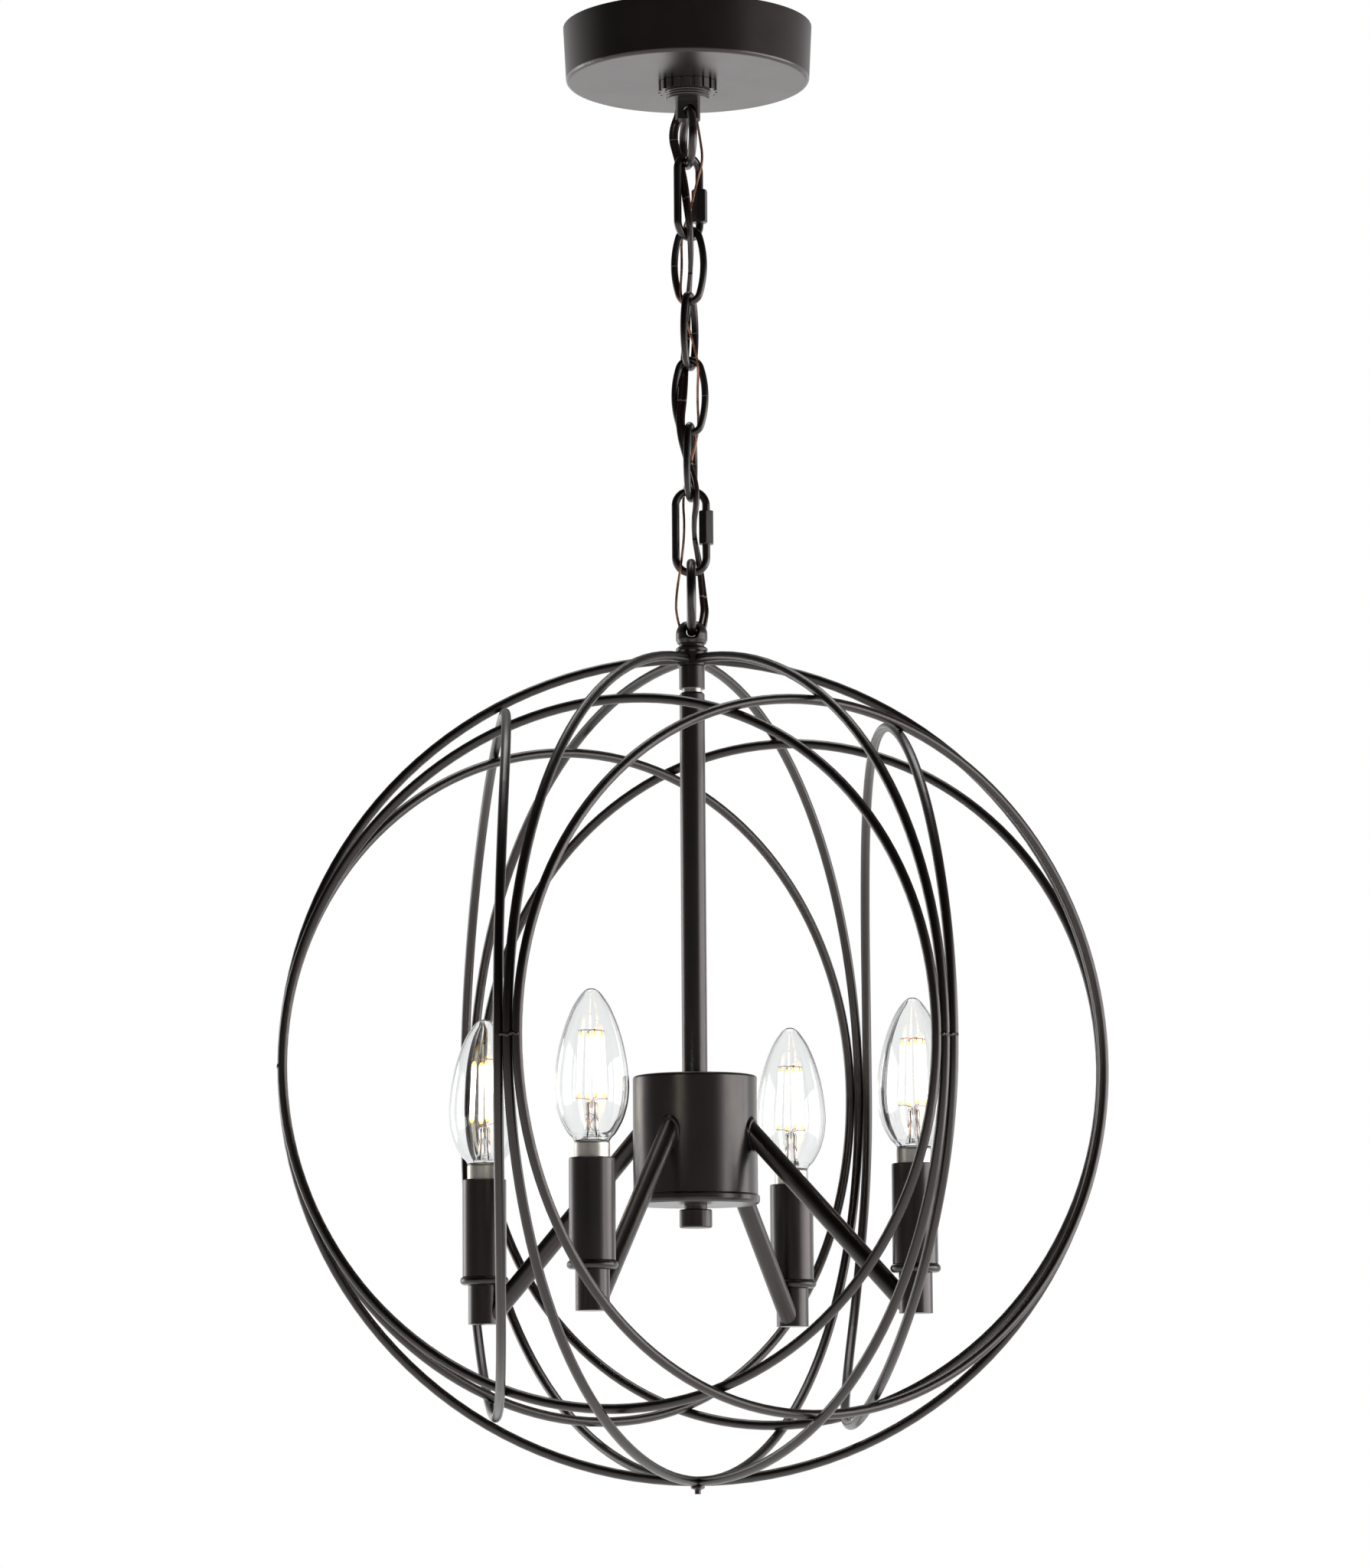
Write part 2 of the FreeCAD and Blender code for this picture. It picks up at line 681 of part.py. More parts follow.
def make_arm_ring(index):
    """Small raised ring of weld round the arm where it leaves the hub."""
    start, end = arm_ends(index)
    direction = (end - start).normalize()
    reach = direction * arm_ring_reach
    ring = bar(start - reach, start + reach, arm_ring_r).cut(bar(start - reach, start + reach, arm_r))
    ring = ring.common(disc(hub_r + arm_ring_h, hub_bottom, hub_top))
    return ring.cut(disc(hub_r, hub_bottom, hub_top))


def make_lamp_cup(index):
    centre = lamp_centre(index)
    cup = disc(cup_r, cup_bottom, cup_top, centre)
    cup = cup.cut(disc(cup_r - cup_wall, cup_bottom + cup_wall, cup_top - cup_wall, centre))
    cup = cup.cut(disc(lamp_pipe_r + thread_gap, cup_top - cup_wall, cup_top, centre))
    start, end = arm_ends(index)
    direction = (end - start).normalize()
    return cup.cut(bar(end - direction * arm_overrun, end + direction * 3 * cup_wall, arm_bore_r))


def make_pan(index):
    centre = lamp_centre(index)
    middle = (pan_bottom + pan_top) / 2
    half = pan_h / 2
    rim = Part.Arc(V(pan_r - half, 0, pan_bottom), V(pan_r, 0, middle), V(pan_r - half, 0, pan_top)).toShape()
    hole_r = lamp_pipe_r + thread_gap
    corners = [V(pan_r - half, 0, pan_top), V(hole_r, 0, pan_top), V(hole_r, 0, pan_bottom),
               V(pan_r - half, 0, pan_bottom)]
    edges = [rim] + [Part.makeLine(a, b) for a, b in zip(corners, corners[1:])]
    pan = Part.Face(Part.Wire(edges)).revolve(V(0, 0, 0), UP, 360)
    pan.translate(centre)
    return pan


def make_lamp_pipe(index):
    centre = lamp_centre(index)
    low = cup_top - lamp_pipe_in_cup
    high = pan_top + holder_floor
    return disc(lamp_pipe_r, low, high, centre).cut(disc(lamp_pipe_bore_r, low, high, centre))


def make_holder(index):
    centre = lamp_centre(index)
    holder = disc(holder_r, pan_top, holder_top, centre)
    holder = holder.cut(disc(lamp_pipe_r + thread_gap, pan_top, pan_top + holder_floor + 0.3, centre))
    bore_r = bulb_screw_r + bulb_fit
    return holder.cut(disc(bore_r, holder_top - holder_bore_depth, holder_top, centre))


def make_sleeve(index):
    centre = lamp_centre(index)
    inner_r = sleeve_r - sleeve_wall
    return turned([(inner_r, pan_top), (sleeve_r, pan_top), (sleeve_r, sleeve_top - sleeve_edge),
                   (sleeve_r - sleeve_edge, sleeve_top), (inner_r, sleeve_top)], centre)


def make_bulb_base(index):
    centre = lamp_centre(index)
    tip_low = screw_low - bulb_tip_h
    profile = [(0, tip_low), (bulb_tip_r, tip_low), (bulb_screw_r - 1.2, screw_low),
               (bulb_screw_r, screw_low + 1.0), (bulb_screw_r, collar_low), (bulb_collar_r, collar_low + 0.6),
               (bulb_collar_r, glass_bottom), (0, glass_bottom)]
    return turned(profile, centre)


def glass_outline(inset):
    """Half outline of the candle-shaped glass, from its neck to its tip."""
    shares = ((0.0, glass_neck_r), (0.10, 11.3), (0.22, 15.4), (0.36, glass_max_r), (0.50, 16.6),
              (0.66, 13.0), (0.80, 8.5), (0.92, 4.2))
    points = []
    for share, radius in shares:
        points.append(V(radius - inset, 0, glass_bottom + inset + share * (glass_height - 2 * inset)))
    points.append(V(glass_tip_r - inset * 0.6, 0, glass_bottom + glass_height - 1.2 - inset))
    points.append(V(0, 0, glass_bottom + glass_height - inset))
    return points


def glass_solid(inset):
    points = glass_outline(inset)
    curve = Part.BSplineCurve()
    curve.interpolate(Points=points, FinalTangent=V(-1, 0, 0), InitialTangent=V(0.35, 0, 1))
    base_centre = V(0, 0, points[0].z)
    edges = [curve.toShape(), Part.makeLine(points[-1], base_centre), Part.makeLine(base_centre, points[0])]
    return Part.Face(Part.Wire(edges)).revolve(V(0, 0, 0), UP, 360)


def make_glass(index):
    glass = glass_solid(0.0).cut(glass_solid(glass_wall))
    glass.translate(lamp_centre(index))
    return glass


def make_bulb_core(index):
    """Glass mount, support wires and four upright filaments, as separate solids."""
    foot = glass_bottom + glass_wall + 0.05
    top = foot + mount_height
    mount = turned([(0, foot), (mount_foot_r, foot), (mount_top_r, top - 4), (mount_top_r, top), (0, top)])
    pieces = [mount]
    low = top + 2.0
    high = low + filament_length
    for i in range(4):
        side = flat_direction(45 + 90 * i)
        low_point = side * filament_spread + level(low)
        high_point = side * (filament_spread * 0.72) + level(high)
        pieces.append(bar(low_point, high_point, filament_r))
        wire_foot = side * (mount_top_r - 0.6) + level(top + 0.4)
        pieces.append(bar(wire_foot, low_point - level(filament_r), support_wire_r))
    for piece in pieces:
        piece.translate(lamp_centre(index))
    return pieces


def make_lead(index):
    """Lamp lead from the hub, down the arm and up to the lamp holder."""
    start, end = arm_ends(index)
    direction = (end - start).normalize()
    outward = flat_direction(lamp_first_turn + 360.0 / lamp_count * index)
    low_side = outward * direction.z - UP * direction.dot(outward)
    on_floor = low_side * (arm_bore_r - lead_r - wire_nut_seat)
    bend = outward * (lamp_circle_r - lead_bend_side) + level(arm_cup_z - lead_bend_drop)
    rise = lamp_centre(index) + level(cup_top - lead_rise_drop)
    high = lamp_centre(index) + level(pan_top + holder_floor - lead_end_drop)
    in_hub = start - direction * lead_in_hub + on_floor
    return tube_through([in_hub, end + on_floor * 0.6, bend, rise, high], lead_r, 2 * lead_r)


# ---------------------------------------------------------------- cage
def node_turn(index):
    return cage_first_node + 60.0 * index


def make_great_ring(index):
    along = flat_direction(node_turn(index))
    return Part.makeTorus(cage_r, cage_wire_r, level(cage_z), along.cross(UP))


def side_ring_point(index, angle):
    """Point on a side ring: it joins two side nodes and leans in above and below."""
    shift = math.degrees((2 * cage_wire_r + wire_gap) / cage_r)
    first = flat_direction(node_turn(index - 1) + shift) * cage_r
    second = flat_direction(node_turn(index + 1) - shift) * cage_r
    middle = (first + second) * 0.5
    half = (first - second) * 0.5
    inward = V(-middle.x, -middle.y, 0).normalize()
    rise = math.sin(angle)
    height = cage_r * (side_ring_up[index] if rise > 0 else side_ring_down[index])
    lean = cage_r * (side_lean_up[index] if rise > 0 else side_lean_down[index])
    return middle + half * math.cos(angle) + inward * (lean * rise ** 2) + level(cage_z + height * rise)


def side_ring_tangent(index, angle):
    small = 1e-4
    return (side_ring_point(index, angle + small) - side_ring_point(index, angle - small)).normalize()


def make_side_ring(index):
    edges = []
    for i in range(side_ring_steps):
        low = 2 * math.pi * i / side_ring_steps
        high = 2 * math.pi * (i + 1) / side_ring_steps
        edges += biarc(side_ring_point(index, low), side_ring_tangent(index, low),
                       side_ring_point(index, high), side_ring_tangent(index, high))
    return swept(edges, cage_wire_r, side_ring_point(index, 0), side_ring_tangent(index, 0))


def make_weld_beads(great_rings, side_rings):
    """Small weld beads between the three wires at each side node, and the knot under the cage."""
    beads = []
    spacing = cage_wire_r + wire_gap / 2
    for i in range(6):
        outward = flat_direction(node_turn(i))
        sideways = outward.cross(UP)
        for side in (-1, 1):
            centre = outward * (cage_r + bead_proud) + sideways * (side * spacing) + level(cage_z)
            bead = Part.makeSphere(bead_r, centre)
            for ring in [great_rings[i % 3], side_rings[(i + 1) % 6], side_rings[(i - 1) % 6]]:
                bead = bead.cut(ring)
            beads.append(bead)
    high = cage_z - cage_r - cage_wire_r
    low = high - knot_h - knot_nub_h
    beads.append(turned([(0, high), (knot_r, high), (knot_r, high - knot_h / 2), (knot_nub_r, high - knot_h),
                         (knot_nub_r, low), (0, low)]))
    return beads


# ---------------------------------------------------------------- cord
def tube_through(points, radius, least):
    """Tube along straight runs joined by tangent arcs as large as the runs allow."""
    edges = []
    start = points[0]
    position = start
    radii = []
    for before, corner, after in zip(points, points[1:], points[2:]):
        in_way = (corner - before).normalize()
        out_way = (after - corner).normalize()
        turn = math.acos(max(-1.0, min(1.0, in_way.dot(out_way))))
        shorter = min((corner - before).Length, (after - corner).Length)
        reach = 0.45 * shorter
        bend_r = reach / math.tan(turn / 2)
        radii.append(round(bend_r, 1))
        bend_start = corner - in_way * reach
        bend_end = corner + out_way * reach
        bisector = (out_way - in_way).normalize()
        to_centre = bend_r / math.cos(turn / 2)
        middle = corner + bisector * (to_centre - bend_r)
        edges.append(Part.makeLine(position, bend_start))
        edges.append(Part.Arc(bend_start, middle, bend_end).toShape())
        position = bend_end
    edges.append(Part.makeLine(position, points[-1]))
    tube = swept(edges, radius, start, (points[1] - start).normalize())
    length = sum(e.Length for e in edges)
    expected = math.pi * radius ** 2 * length
    print("tube: length %.1f, volume ratio %.4f, least radius %.1f of %.1f, radii %s"
          % (length, tube.Volume / expected, min(radii), least, radii))
    return tube


def cord_route():
    """The lamp cord leaves the canopy loop behind its neck and winds down through the links."""
    points = [cord_exit + level(chamber_top - 3.0), cord_exit + level(below_loop)]
    points += [V(-11.2, 10.4, -55.7), V(-6.3, 5.1, -71.0), V(-4.4, -0.8, -86.0), V(-0.3, -4.0, -99.0)]
    points += [V(2.2, -5.6, -111.2), V(2.8, 0.3, -127.9), V(6.9, 3.5, -145.1), V(2.3, 1.4, -163.0)]
    points += [V(-3.6, 5.9, -180.7), V(-2.6, -1.5, -198.1), V(-6.6, -4.6, -215.0), V(-1.7, -1.8, -233.2)]
    points += [V(4.5, -5.8, -250.5), V(-0.7, -0.8, -268.1), V(4.8, 7.2, -286.2), V(9.5, 4.0, -303.5)]
    points += [cord_slope_point(body_top + 2.0), cord_slope_point(flange_bottom - 1.0)]
    return points


def ground_route():
    """The bare ground wire winds down on the other side of the links."""
    points = [ground_exit + level(chamber_top - 3.0), ground_exit + level(below_loop)]
    points += [V(6.1, 7.1, -56.0), V(7.9, 2.6, -71.0), V(4.2, -0.2, -84.0), V(1.0, 2.1, -97.0)]
    points += [V(-4.1, 4.7, -111.0), V(-3.6, 1.5, -128.0), V(-5.0, -2.8, -145.0), V(-0.1, -3.6, -163.0)]
    points += [V(4.8, -4.2, -180.5), V(3.7, 0.0, -198.0), V(4.7, 3.7, -215.0), V(0.0, 3.8, -233.0)]
    points += [V(-4.3, 4.2, -250.0), V(-3.1, -0.6, -268.0), V(-5.1, -4.4, -287.0), V(-7.9, -1.6, -303.0)]
    points += [ground_slope_point(body_top + 2.0), ground_slope_point(flange_bottom - 1.0)]
    return points


if __name__ == "__main__":
    save("ceiling_strap", make_strap())
    save("strap_nut", make_strap_nut())
    save("ground_screw", make_ground_screw())
    save("ceiling_pipe", make_ceiling_pipe())
    save("canopy_cover", make_canopy())
    canopy_floor = canopy_face + canopy_wall
    save("canopy_wire_nuts", make_wire_nuts(canopy_wire_nut_ring_r, canopy_floor + wire_nut_seat,
                                            canopy_wire_nut_turns))
    save("canopy_loop", make_canopy_loop())
    save("collar_nut", make_collar_nut())
    save("canopy_ring", make_ring(ring_axis_z, ring_mean_r, ring_wire_r, ring_turn))
    upper, upper_nut = make_quick_link(quick_upper_top, quick_upper_turn, quick_upper_nut_shift, 1)
    save("quick_link_upper", upper)
    save("quick_link_upper_nut", upper_nut)
    for i, (top, turn, side) in enumerate(zip(link_tops, link_turns, link_seam_sides)):
        save("chain_link_%d" % (i + 1), make_oval_link(top, turn, side))
    lower, lower_nut = make_quick_link(quick_lower_top, quick_lower_turn, quick_lower_nut_shift, -1)
    save("quick_link_lower", lower)
    save("quick_link_lower_nut", lower_nut)
    save("hang_ring", make_ring(hang_top_axis, hang_mean_r, hang_wire_r, hang_turn))
    print("levels", round(ring_bottom_axis, 2), [round(t, 2) for t in link_tops], round(quick_lower_top, 2),
          round(hang_top_axis, 2), round(hang_bottom_axis, 2), round(body_top, 2), round(cage_z, 2),
          round(hub_top, 2), round(cup_top, 2), round(glass_bottom, 2))
    save("loop_body", make_loop_body())
    save("wire_collar", make_threaded_collar(wire_collar_r, collar_bottom, flange_bottom))
    save("coupling", make_threaded_collar(coupling_r, coupling_bottom, collar_bottom, 0.4))
    save("stem_pipe", make_stem_pipe())
    save("stem_socket", make_threaded_collar(stem_r, stem_top, socket_top, 1.0))
    save("stem_tube", make_stem_tube())
    save("hub_cup", make_hub_cup())
    save("hub_cover", make_hub_cover())
    save("hub_nut", make_hub_nut())
    save("hub_pipe", make_hub_pipe())
    hub_floor = cover_bottom + cover_plate
    save("hub_wire_nuts", make_wire_nuts(hub_wire_nut_ring_r, hub_floor + wire_nut_seat,
                                         hub_wire_nut_turns))
    save("finial", make_finial())
    for i in range(lamp_count):
        save("arm_%d" % (i + 1), make_arm(i))
        save("bulb_base_%d" % (i + 1), [make_bulb_base(i)] + make_bulb_core(i))
        save("bulb_glass_%d" % (i + 1), make_glass(i))
    lamps = range(lamp_count)
    save("lamp_cups", [make_lamp_cup(i) for i in lamps])
    save("candle_pans", [make_pan(i) for i in lamps])
    save("lamp_pipes", [make_lamp_pipe(i) for i in lamps])
    save("lamp_holders", [make_holder(i) for i in lamps])
    save("candle_sleeves", [make_sleeve(i) for i in lamps])
    save("lamp_leads", [make_lead(i) for i in lamps])

    collar_space = disc(wire_collar_r, collar_bottom - 3, flange_bottom + 3)
    pole_core = disc(30.0, cage_z - cage_r - 10, cage_z - cage_r + 10)
    great_rings = []
    for i in range(3):
        ring = make_great_ring(i).cut(collar_space)
        for j in range(i):
            ring = ring.cut(make_great_ring(j).common(pole_core))
        great_rings.append(ring)
        save("great_ring_%d" % (i + 1), ring)
    side_rings = [make_side_ring(i) for i in range(6)]
    for i, ring in enumerate(side_rings):
        save("side_ring_%d" % (i + 1), ring)
    save("weld_beads", make_weld_beads(great_rings, side_rings) + [make_arm_ring(i) for i in lamps])
    save("lamp_cord", tube_through(cord_route(), cord_r, 5 * cord_r))
    save("ground_wire", tube_through(ground_route(), ground_r, 5 * ground_r))
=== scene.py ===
import json
import math

import bpy
from mathutils import Matrix, Vector


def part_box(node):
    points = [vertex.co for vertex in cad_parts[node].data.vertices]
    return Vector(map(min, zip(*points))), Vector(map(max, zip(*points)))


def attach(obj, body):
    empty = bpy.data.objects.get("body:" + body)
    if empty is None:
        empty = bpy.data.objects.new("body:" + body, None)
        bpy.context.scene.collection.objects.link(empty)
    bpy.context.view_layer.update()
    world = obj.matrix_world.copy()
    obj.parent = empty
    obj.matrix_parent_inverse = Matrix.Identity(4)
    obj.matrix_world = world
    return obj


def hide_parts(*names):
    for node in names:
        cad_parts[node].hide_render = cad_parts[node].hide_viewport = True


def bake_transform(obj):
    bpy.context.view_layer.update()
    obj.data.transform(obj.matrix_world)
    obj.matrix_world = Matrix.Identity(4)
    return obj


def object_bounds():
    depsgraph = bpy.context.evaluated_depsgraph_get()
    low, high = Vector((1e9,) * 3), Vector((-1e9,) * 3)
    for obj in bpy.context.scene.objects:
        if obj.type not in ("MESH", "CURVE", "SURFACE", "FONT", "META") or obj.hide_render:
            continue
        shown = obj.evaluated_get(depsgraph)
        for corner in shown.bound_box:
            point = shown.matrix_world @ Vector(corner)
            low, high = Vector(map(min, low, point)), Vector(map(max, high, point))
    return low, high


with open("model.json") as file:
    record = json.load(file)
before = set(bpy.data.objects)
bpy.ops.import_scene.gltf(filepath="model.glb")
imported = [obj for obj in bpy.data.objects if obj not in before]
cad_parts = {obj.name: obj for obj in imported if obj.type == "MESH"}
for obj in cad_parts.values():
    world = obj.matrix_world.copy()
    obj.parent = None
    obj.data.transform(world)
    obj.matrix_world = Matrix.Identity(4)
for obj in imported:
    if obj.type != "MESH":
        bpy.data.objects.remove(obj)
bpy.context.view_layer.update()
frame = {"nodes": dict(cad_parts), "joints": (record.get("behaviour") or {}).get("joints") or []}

MM = 0.001

# ---------------------------------------------------------------- sizes, in metres
IMAGE_HEIGHT_PX = 2048
CAMERA_FOCAL_PX = 7295.6
CAMERA_DISTANCE = 2.8649
CAMERA_X = -0.0040
CAMERA_HEIGHT = -0.7933
CAMERA_TILT = 0.1357         # radians, upwards
CAMERA_ROLL = -0.0070        # radians
SENSOR_HEIGHT_MM = 36.0

WORLD_FRONT = 0.04           # how bright metal sees the room behind the camera
WORLD_TURN = (-0.10, 0.95)   # the band, from front to back, in which that rises to white
OVERHEAD_TURN = (0.12, 0.30)  # the band, going up, in which what metal sees fades
OVERHEAD_SHARE = 0.22        # to this share of it
GLASS_TURN = (0.75, 0.94)    # how level a ray through glass has to be to see white
GLASS_DARK = 0.10            # what steeper rays see, which draws the outline of the bulbs
ROOM_STRENGTH = (0.12, 0.45)  # light that the room sheds on the lamp, from the front and from behind
SOFTBOXES = (                # name, place, what it points at, width and height, watts
    ("left softbox", (-1.6, 1.05, -0.5), (0, 0, -0.5), (0.6, 1.1), 6.0),
    ("right softbox", (1.9, -0.25, -0.5), (0, 0, -0.5), (2.2, 1.1), 26.0),
    ("top softbox", (0.0, 0.7, 1.7), (0, 0, -0.45), (1.6, 1.2), 18.0))

FLOOR_DROP = 1.20            # from the lowest wire to the floor, well below a hanging lamp
FLOOR_SIZE = 60.0
FLOOR_GLOW = 0.75            # keeps the floor near white to the camera and through glass
FLOOR_GLOW_REFLECTED = 0.65  # the same in metal

CORD_WIDTH = 4.8 * MM        # over both cores
CORD_THICKNESS = 2.5 * MM
CORD_WAIST = 0.62            # thickness between the cores, as a share of theirs
CORD_SIDES = 36
CORD_TWIST = 22.0            # radians per metre
STRAND_COUNT = 6
STRAND_R = 0.27 * MM
STRAND_PITCH = 7.0 * MM
GROUND_R = 0.7 * MM
SPLINE_STEPS = 14            # points on each stretch of a cord's line
BEND_REACH = 7 * MM          # a cord bends over this much above and below a hinge of the chain
STEM_BEND = (9 * MM, 1 * MM)  # but over this stretch above the stem

GLASS_WALL = 0.6 * MM
GLASS_SHAPE = (              # share of the glass's height, radius in mm
    (0.0, 8.7), (0.025, 9.8), (0.05, 11.7), (0.10, 14.0), (0.15, 15.8), (0.20, 17.0), (0.26, 18.0),
    (0.355, 18.6), (0.455, 18.1), (0.555, 17.1), (0.66, 15.4), (0.76, 13.1), (0.86, 10.0),
    (0.91, 7.9), (0.96, 5.2))
GLASS_STEPS = 96             # faces round the glass, the collar and the mount
COLLAR_STEPS = 64
MOUNT_STEPS = 40
COLLAR_R = 8.9 * MM
COLLAR_H = 9.4 * MM
SCREW_R = 6.0 * MM
SCREW_H = 25.5 * MM
THREAD_TURNS = 7
THREAD_STEPS = 8             # points on each turn of the rolled thread
MOUNT_HEIGHT = 19.0 * MM
FILAMENT_SPREAD = 6.8 * MM   # from the bulb's axis to the foot of a filament
FILAMENT_LEAN = 0.78         # the same at its top, as a share
FILAMENT_TURN = math.radians(17)
FILAMENT_R = 1.3 * MM
FILAMENT_LENGTH = 32.0 * MM
FILAMENT_STEPS = 36
FILAMENT_SIDES = 12
WIRE_R = 0.2 * MM            # filament supports
LEAD_WIRE_R = 0.3 * MM       # wires inside the glass mount

LAMPS = (1, 2, 3, 4)
SIDE_NODES = 6
BEAD_PLACES = (-3.4, -2.5, -1.6, 1.6, 2.5, 3.4)  # mm to the sides of a node
BEAD_INSET = 1.0 * MM        # inside the outline of the great ring
BEAD_RISE = 0.5 * MM
BEAD_R = 1.25 * MM
BEAD_LUMP = 1.1 * MM

# Bodies that hang on one another, from the ceiling down; each swings about the one above it.
CHAIN_BODIES = ("ceiling", "canopy_ring", "quick_upper", "link_1", "link_2", "link_3", "link_4",
                "quick_lower", "hang_ring", "fixture")

# Control points of the lamp cord and of the ground wire, from the canopy down into the stem.
CORD_ROUTE = (
    (-0.0030, 0.0076, -0.0230), (-0.0030, 0.0076, -0.0410), (-0.0088, 0.0058, -0.0557),
    (-0.0049, 0.0010, -0.0710), (-0.0021, -0.0034, -0.0860), (-0.0006, -0.0068, -0.0990),
    (0.0009, -0.0059, -0.1112), (0.0010, 0.0012, -0.1279), (-0.0005, 0.0084, -0.1451),
    (-0.0016, 0.0089, -0.1630), (-0.0028, 0.0043, -0.1807), (-0.0037, -0.0018, -0.1981),
    (-0.0057, -0.0037, -0.2150), (-0.0012, -0.0033, -0.2332), (0.0039, -0.0053, -0.2505),
    (0.0008, 0.0004, -0.2681), (0.0045, 0.0056, -0.2862), (0.0061, 0.0037, -0.3035),
    (0.0074, 0.0000, -0.3154), (0.0012, 0.0000, -0.3346))
GROUND_ROUTE = (
    (0.0034, 0.0072, -0.0230), (0.0034, 0.0072, -0.0410), (0.0061, 0.0071, -0.0560),
    (0.0079, 0.0026, -0.0710), (0.0042, -0.0002, -0.0840), (0.0010, 0.0021, -0.0970),
    (-0.0041, 0.0047, -0.1110), (-0.0036, 0.0015, -0.1280), (-0.0050, -0.0028, -0.1450),
    (-0.0001, -0.0036, -0.1630), (0.0048, -0.0042, -0.1805), (0.0037, 0.0, -0.1980),
    (0.0047, 0.0037, -0.2150), (0.0, 0.0038, -0.2330), (-0.0043, 0.0042, -0.2500),
    (-0.0031, -0.0006, -0.2680), (-0.0051, -0.0044, -0.2870), (-0.0079, -0.0016, -0.3030),
    (-0.0081, 0.0, -0.3154), (-0.0019, 0.0, -0.3346))


# ---------------------------------------------------------------- shader helpers
def add_node(tree, kind, **settings):
    node = tree.nodes.new(kind)
    for key, value in settings.items():
        setattr(node, key, value)
    return node


def new_group(name, inputs, outputs):
    """Empty shader group with float inputs and the outputs named."""
    group = bpy.data.node_groups.new(name, "ShaderNodeTree")
    for title, default in inputs:
        socket = group.interface.new_socket(title, in_out="INPUT", socket_type="NodeSocketFloat")
        socket.default_value = default
    for title, kind in outputs:
        group.interface.new_socket(title, in_out="OUTPUT", socket_type=kind)
    return group, add_node(group, "NodeGroupInput"), add_node(group, "NodeGroupOutput")


def noise(tree, coordinates, scale, detail=2.0, roughness=0.5):
    node = add_node(tree, "ShaderNodeTexNoise")
    node.inputs["Detail"].default_value = detail
    node.inputs["Roughness"].default_value = roughness
    if isinstance(scale, float):
        node.inputs["Scale"].default_value = scale
    else:
        tree.links.new(scale, node.inputs["Scale"])
    tree.links.new(coordinates, node.inputs["Vector"])
    return node.outputs["Fac"]


def ranged(tree, value, low, high, to_low=0.0, to_high=1.0):
    """Value between low and high, stretched to the second pair and kept inside it."""
    node = add_node(tree, "ShaderNodeMapRange")
    for name, number in (("From Min", low), ("From Max", high), ("To Min", to_low), ("To Max", to_high)):
        node.inputs[name].default_value = number
    tree.links.new(value, node.inputs["Value"])
    return node.outputs["Result"]


def math_node(tree, operation, first, second=None, clamp=False):
    node = add_node(tree, "ShaderNodeMath", operation=operation, use_clamp=clamp)
    for socket, value in zip(node.inputs, (first, second)):
        if isinstance(value, float):
            socket.default_value = value
        elif value is not None:
            tree.links.new(value, socket)
    return node.outputs[0]


def mix_colour(tree, factor, first, second):
    node = add_node(tree, "ShaderNodeMix", data_type="RGBA")
    for index, value in ((0, factor), (6, first), (7, second)):
        if isinstance(value, (tuple, float)):
            node.inputs[index].default_value = value
        else:
            tree.links.new(value, node.inputs[index])
    return node.outputs[2]


def rgb(red, green, blue):
    return (red, green, blue, 1.0)


def make_powder_group():
    """Fine orange peel, soft mottling and sparse bright flecks of a satin coat."""
    group, entry, leave = new_group(
        "satin coat grain", [("Grain Scale", 1300.0), ("Mottle Scale", 55.0), ("Fleck Scale", 2600.0)],
        [("Grain", "NodeSocketFloat"), ("Mottle", "NodeSocketFloat"), ("Fleck", "NodeSocketFloat")])
    place = add_node(group, "ShaderNodeTexCoord").outputs["Object"]
    grain = noise(group, place, entry.outputs["Grain Scale"], 3.0, 0.6)
    mottle = ranged(group, noise(group, place, entry.outputs["Mottle Scale"], 3.0, 0.6), 0.34, 0.66)
    fleck = ranged(group, noise(group, place, entry.outputs["Fleck Scale"], 1.0), 0.66, 0.78)
    group.links.new(grain, leave.inputs["Grain"])
    group.links.new(mottle, leave.inputs["Mottle"])
    group.links.new(fleck, leave.inputs["Fleck"])
    return group


def make_rub_group():
    """Mask of rubbed corners, and the softened normal of those corners."""
    group, entry, leave = new_group(
        "rubbed corners", [("Radius", 0.0006), ("Break Up Scale", 260.0)],
        [("Mask", "NodeSocketFloat"), ("Normal", "NodeSocketVector")])
    bevel = add_node(group, "ShaderNodeBevel", samples=4)
    group.links.new(entry.outputs["Radius"], bevel.inputs["Radius"])
    true_normal = add_node(group, "ShaderNodeNewGeometry").outputs["Normal"]
    dot = add_node(group, "ShaderNodeVectorMath", operation="DOT_PRODUCT")
    group.links.new(bevel.outputs["Normal"], dot.inputs[0])
    group.links.new(true_normal, dot.inputs[1])
    corner = ranged(group, dot.outputs["Value"], 0.97, 0.80)
    place = add_node(group, "ShaderNodeTexCoord").outputs["Object"]
    uneven = ranged(group, noise(group, place, entry.outputs["Break Up Scale"], 3.0), 0.35, 0.65)
    group.links.new(math_node(group, "MULTIPLY", corner, uneven), leave.inputs["Mask"])
    group.links.new(bevel.outputs["Normal"], leave.inputs["Normal"])
    return group


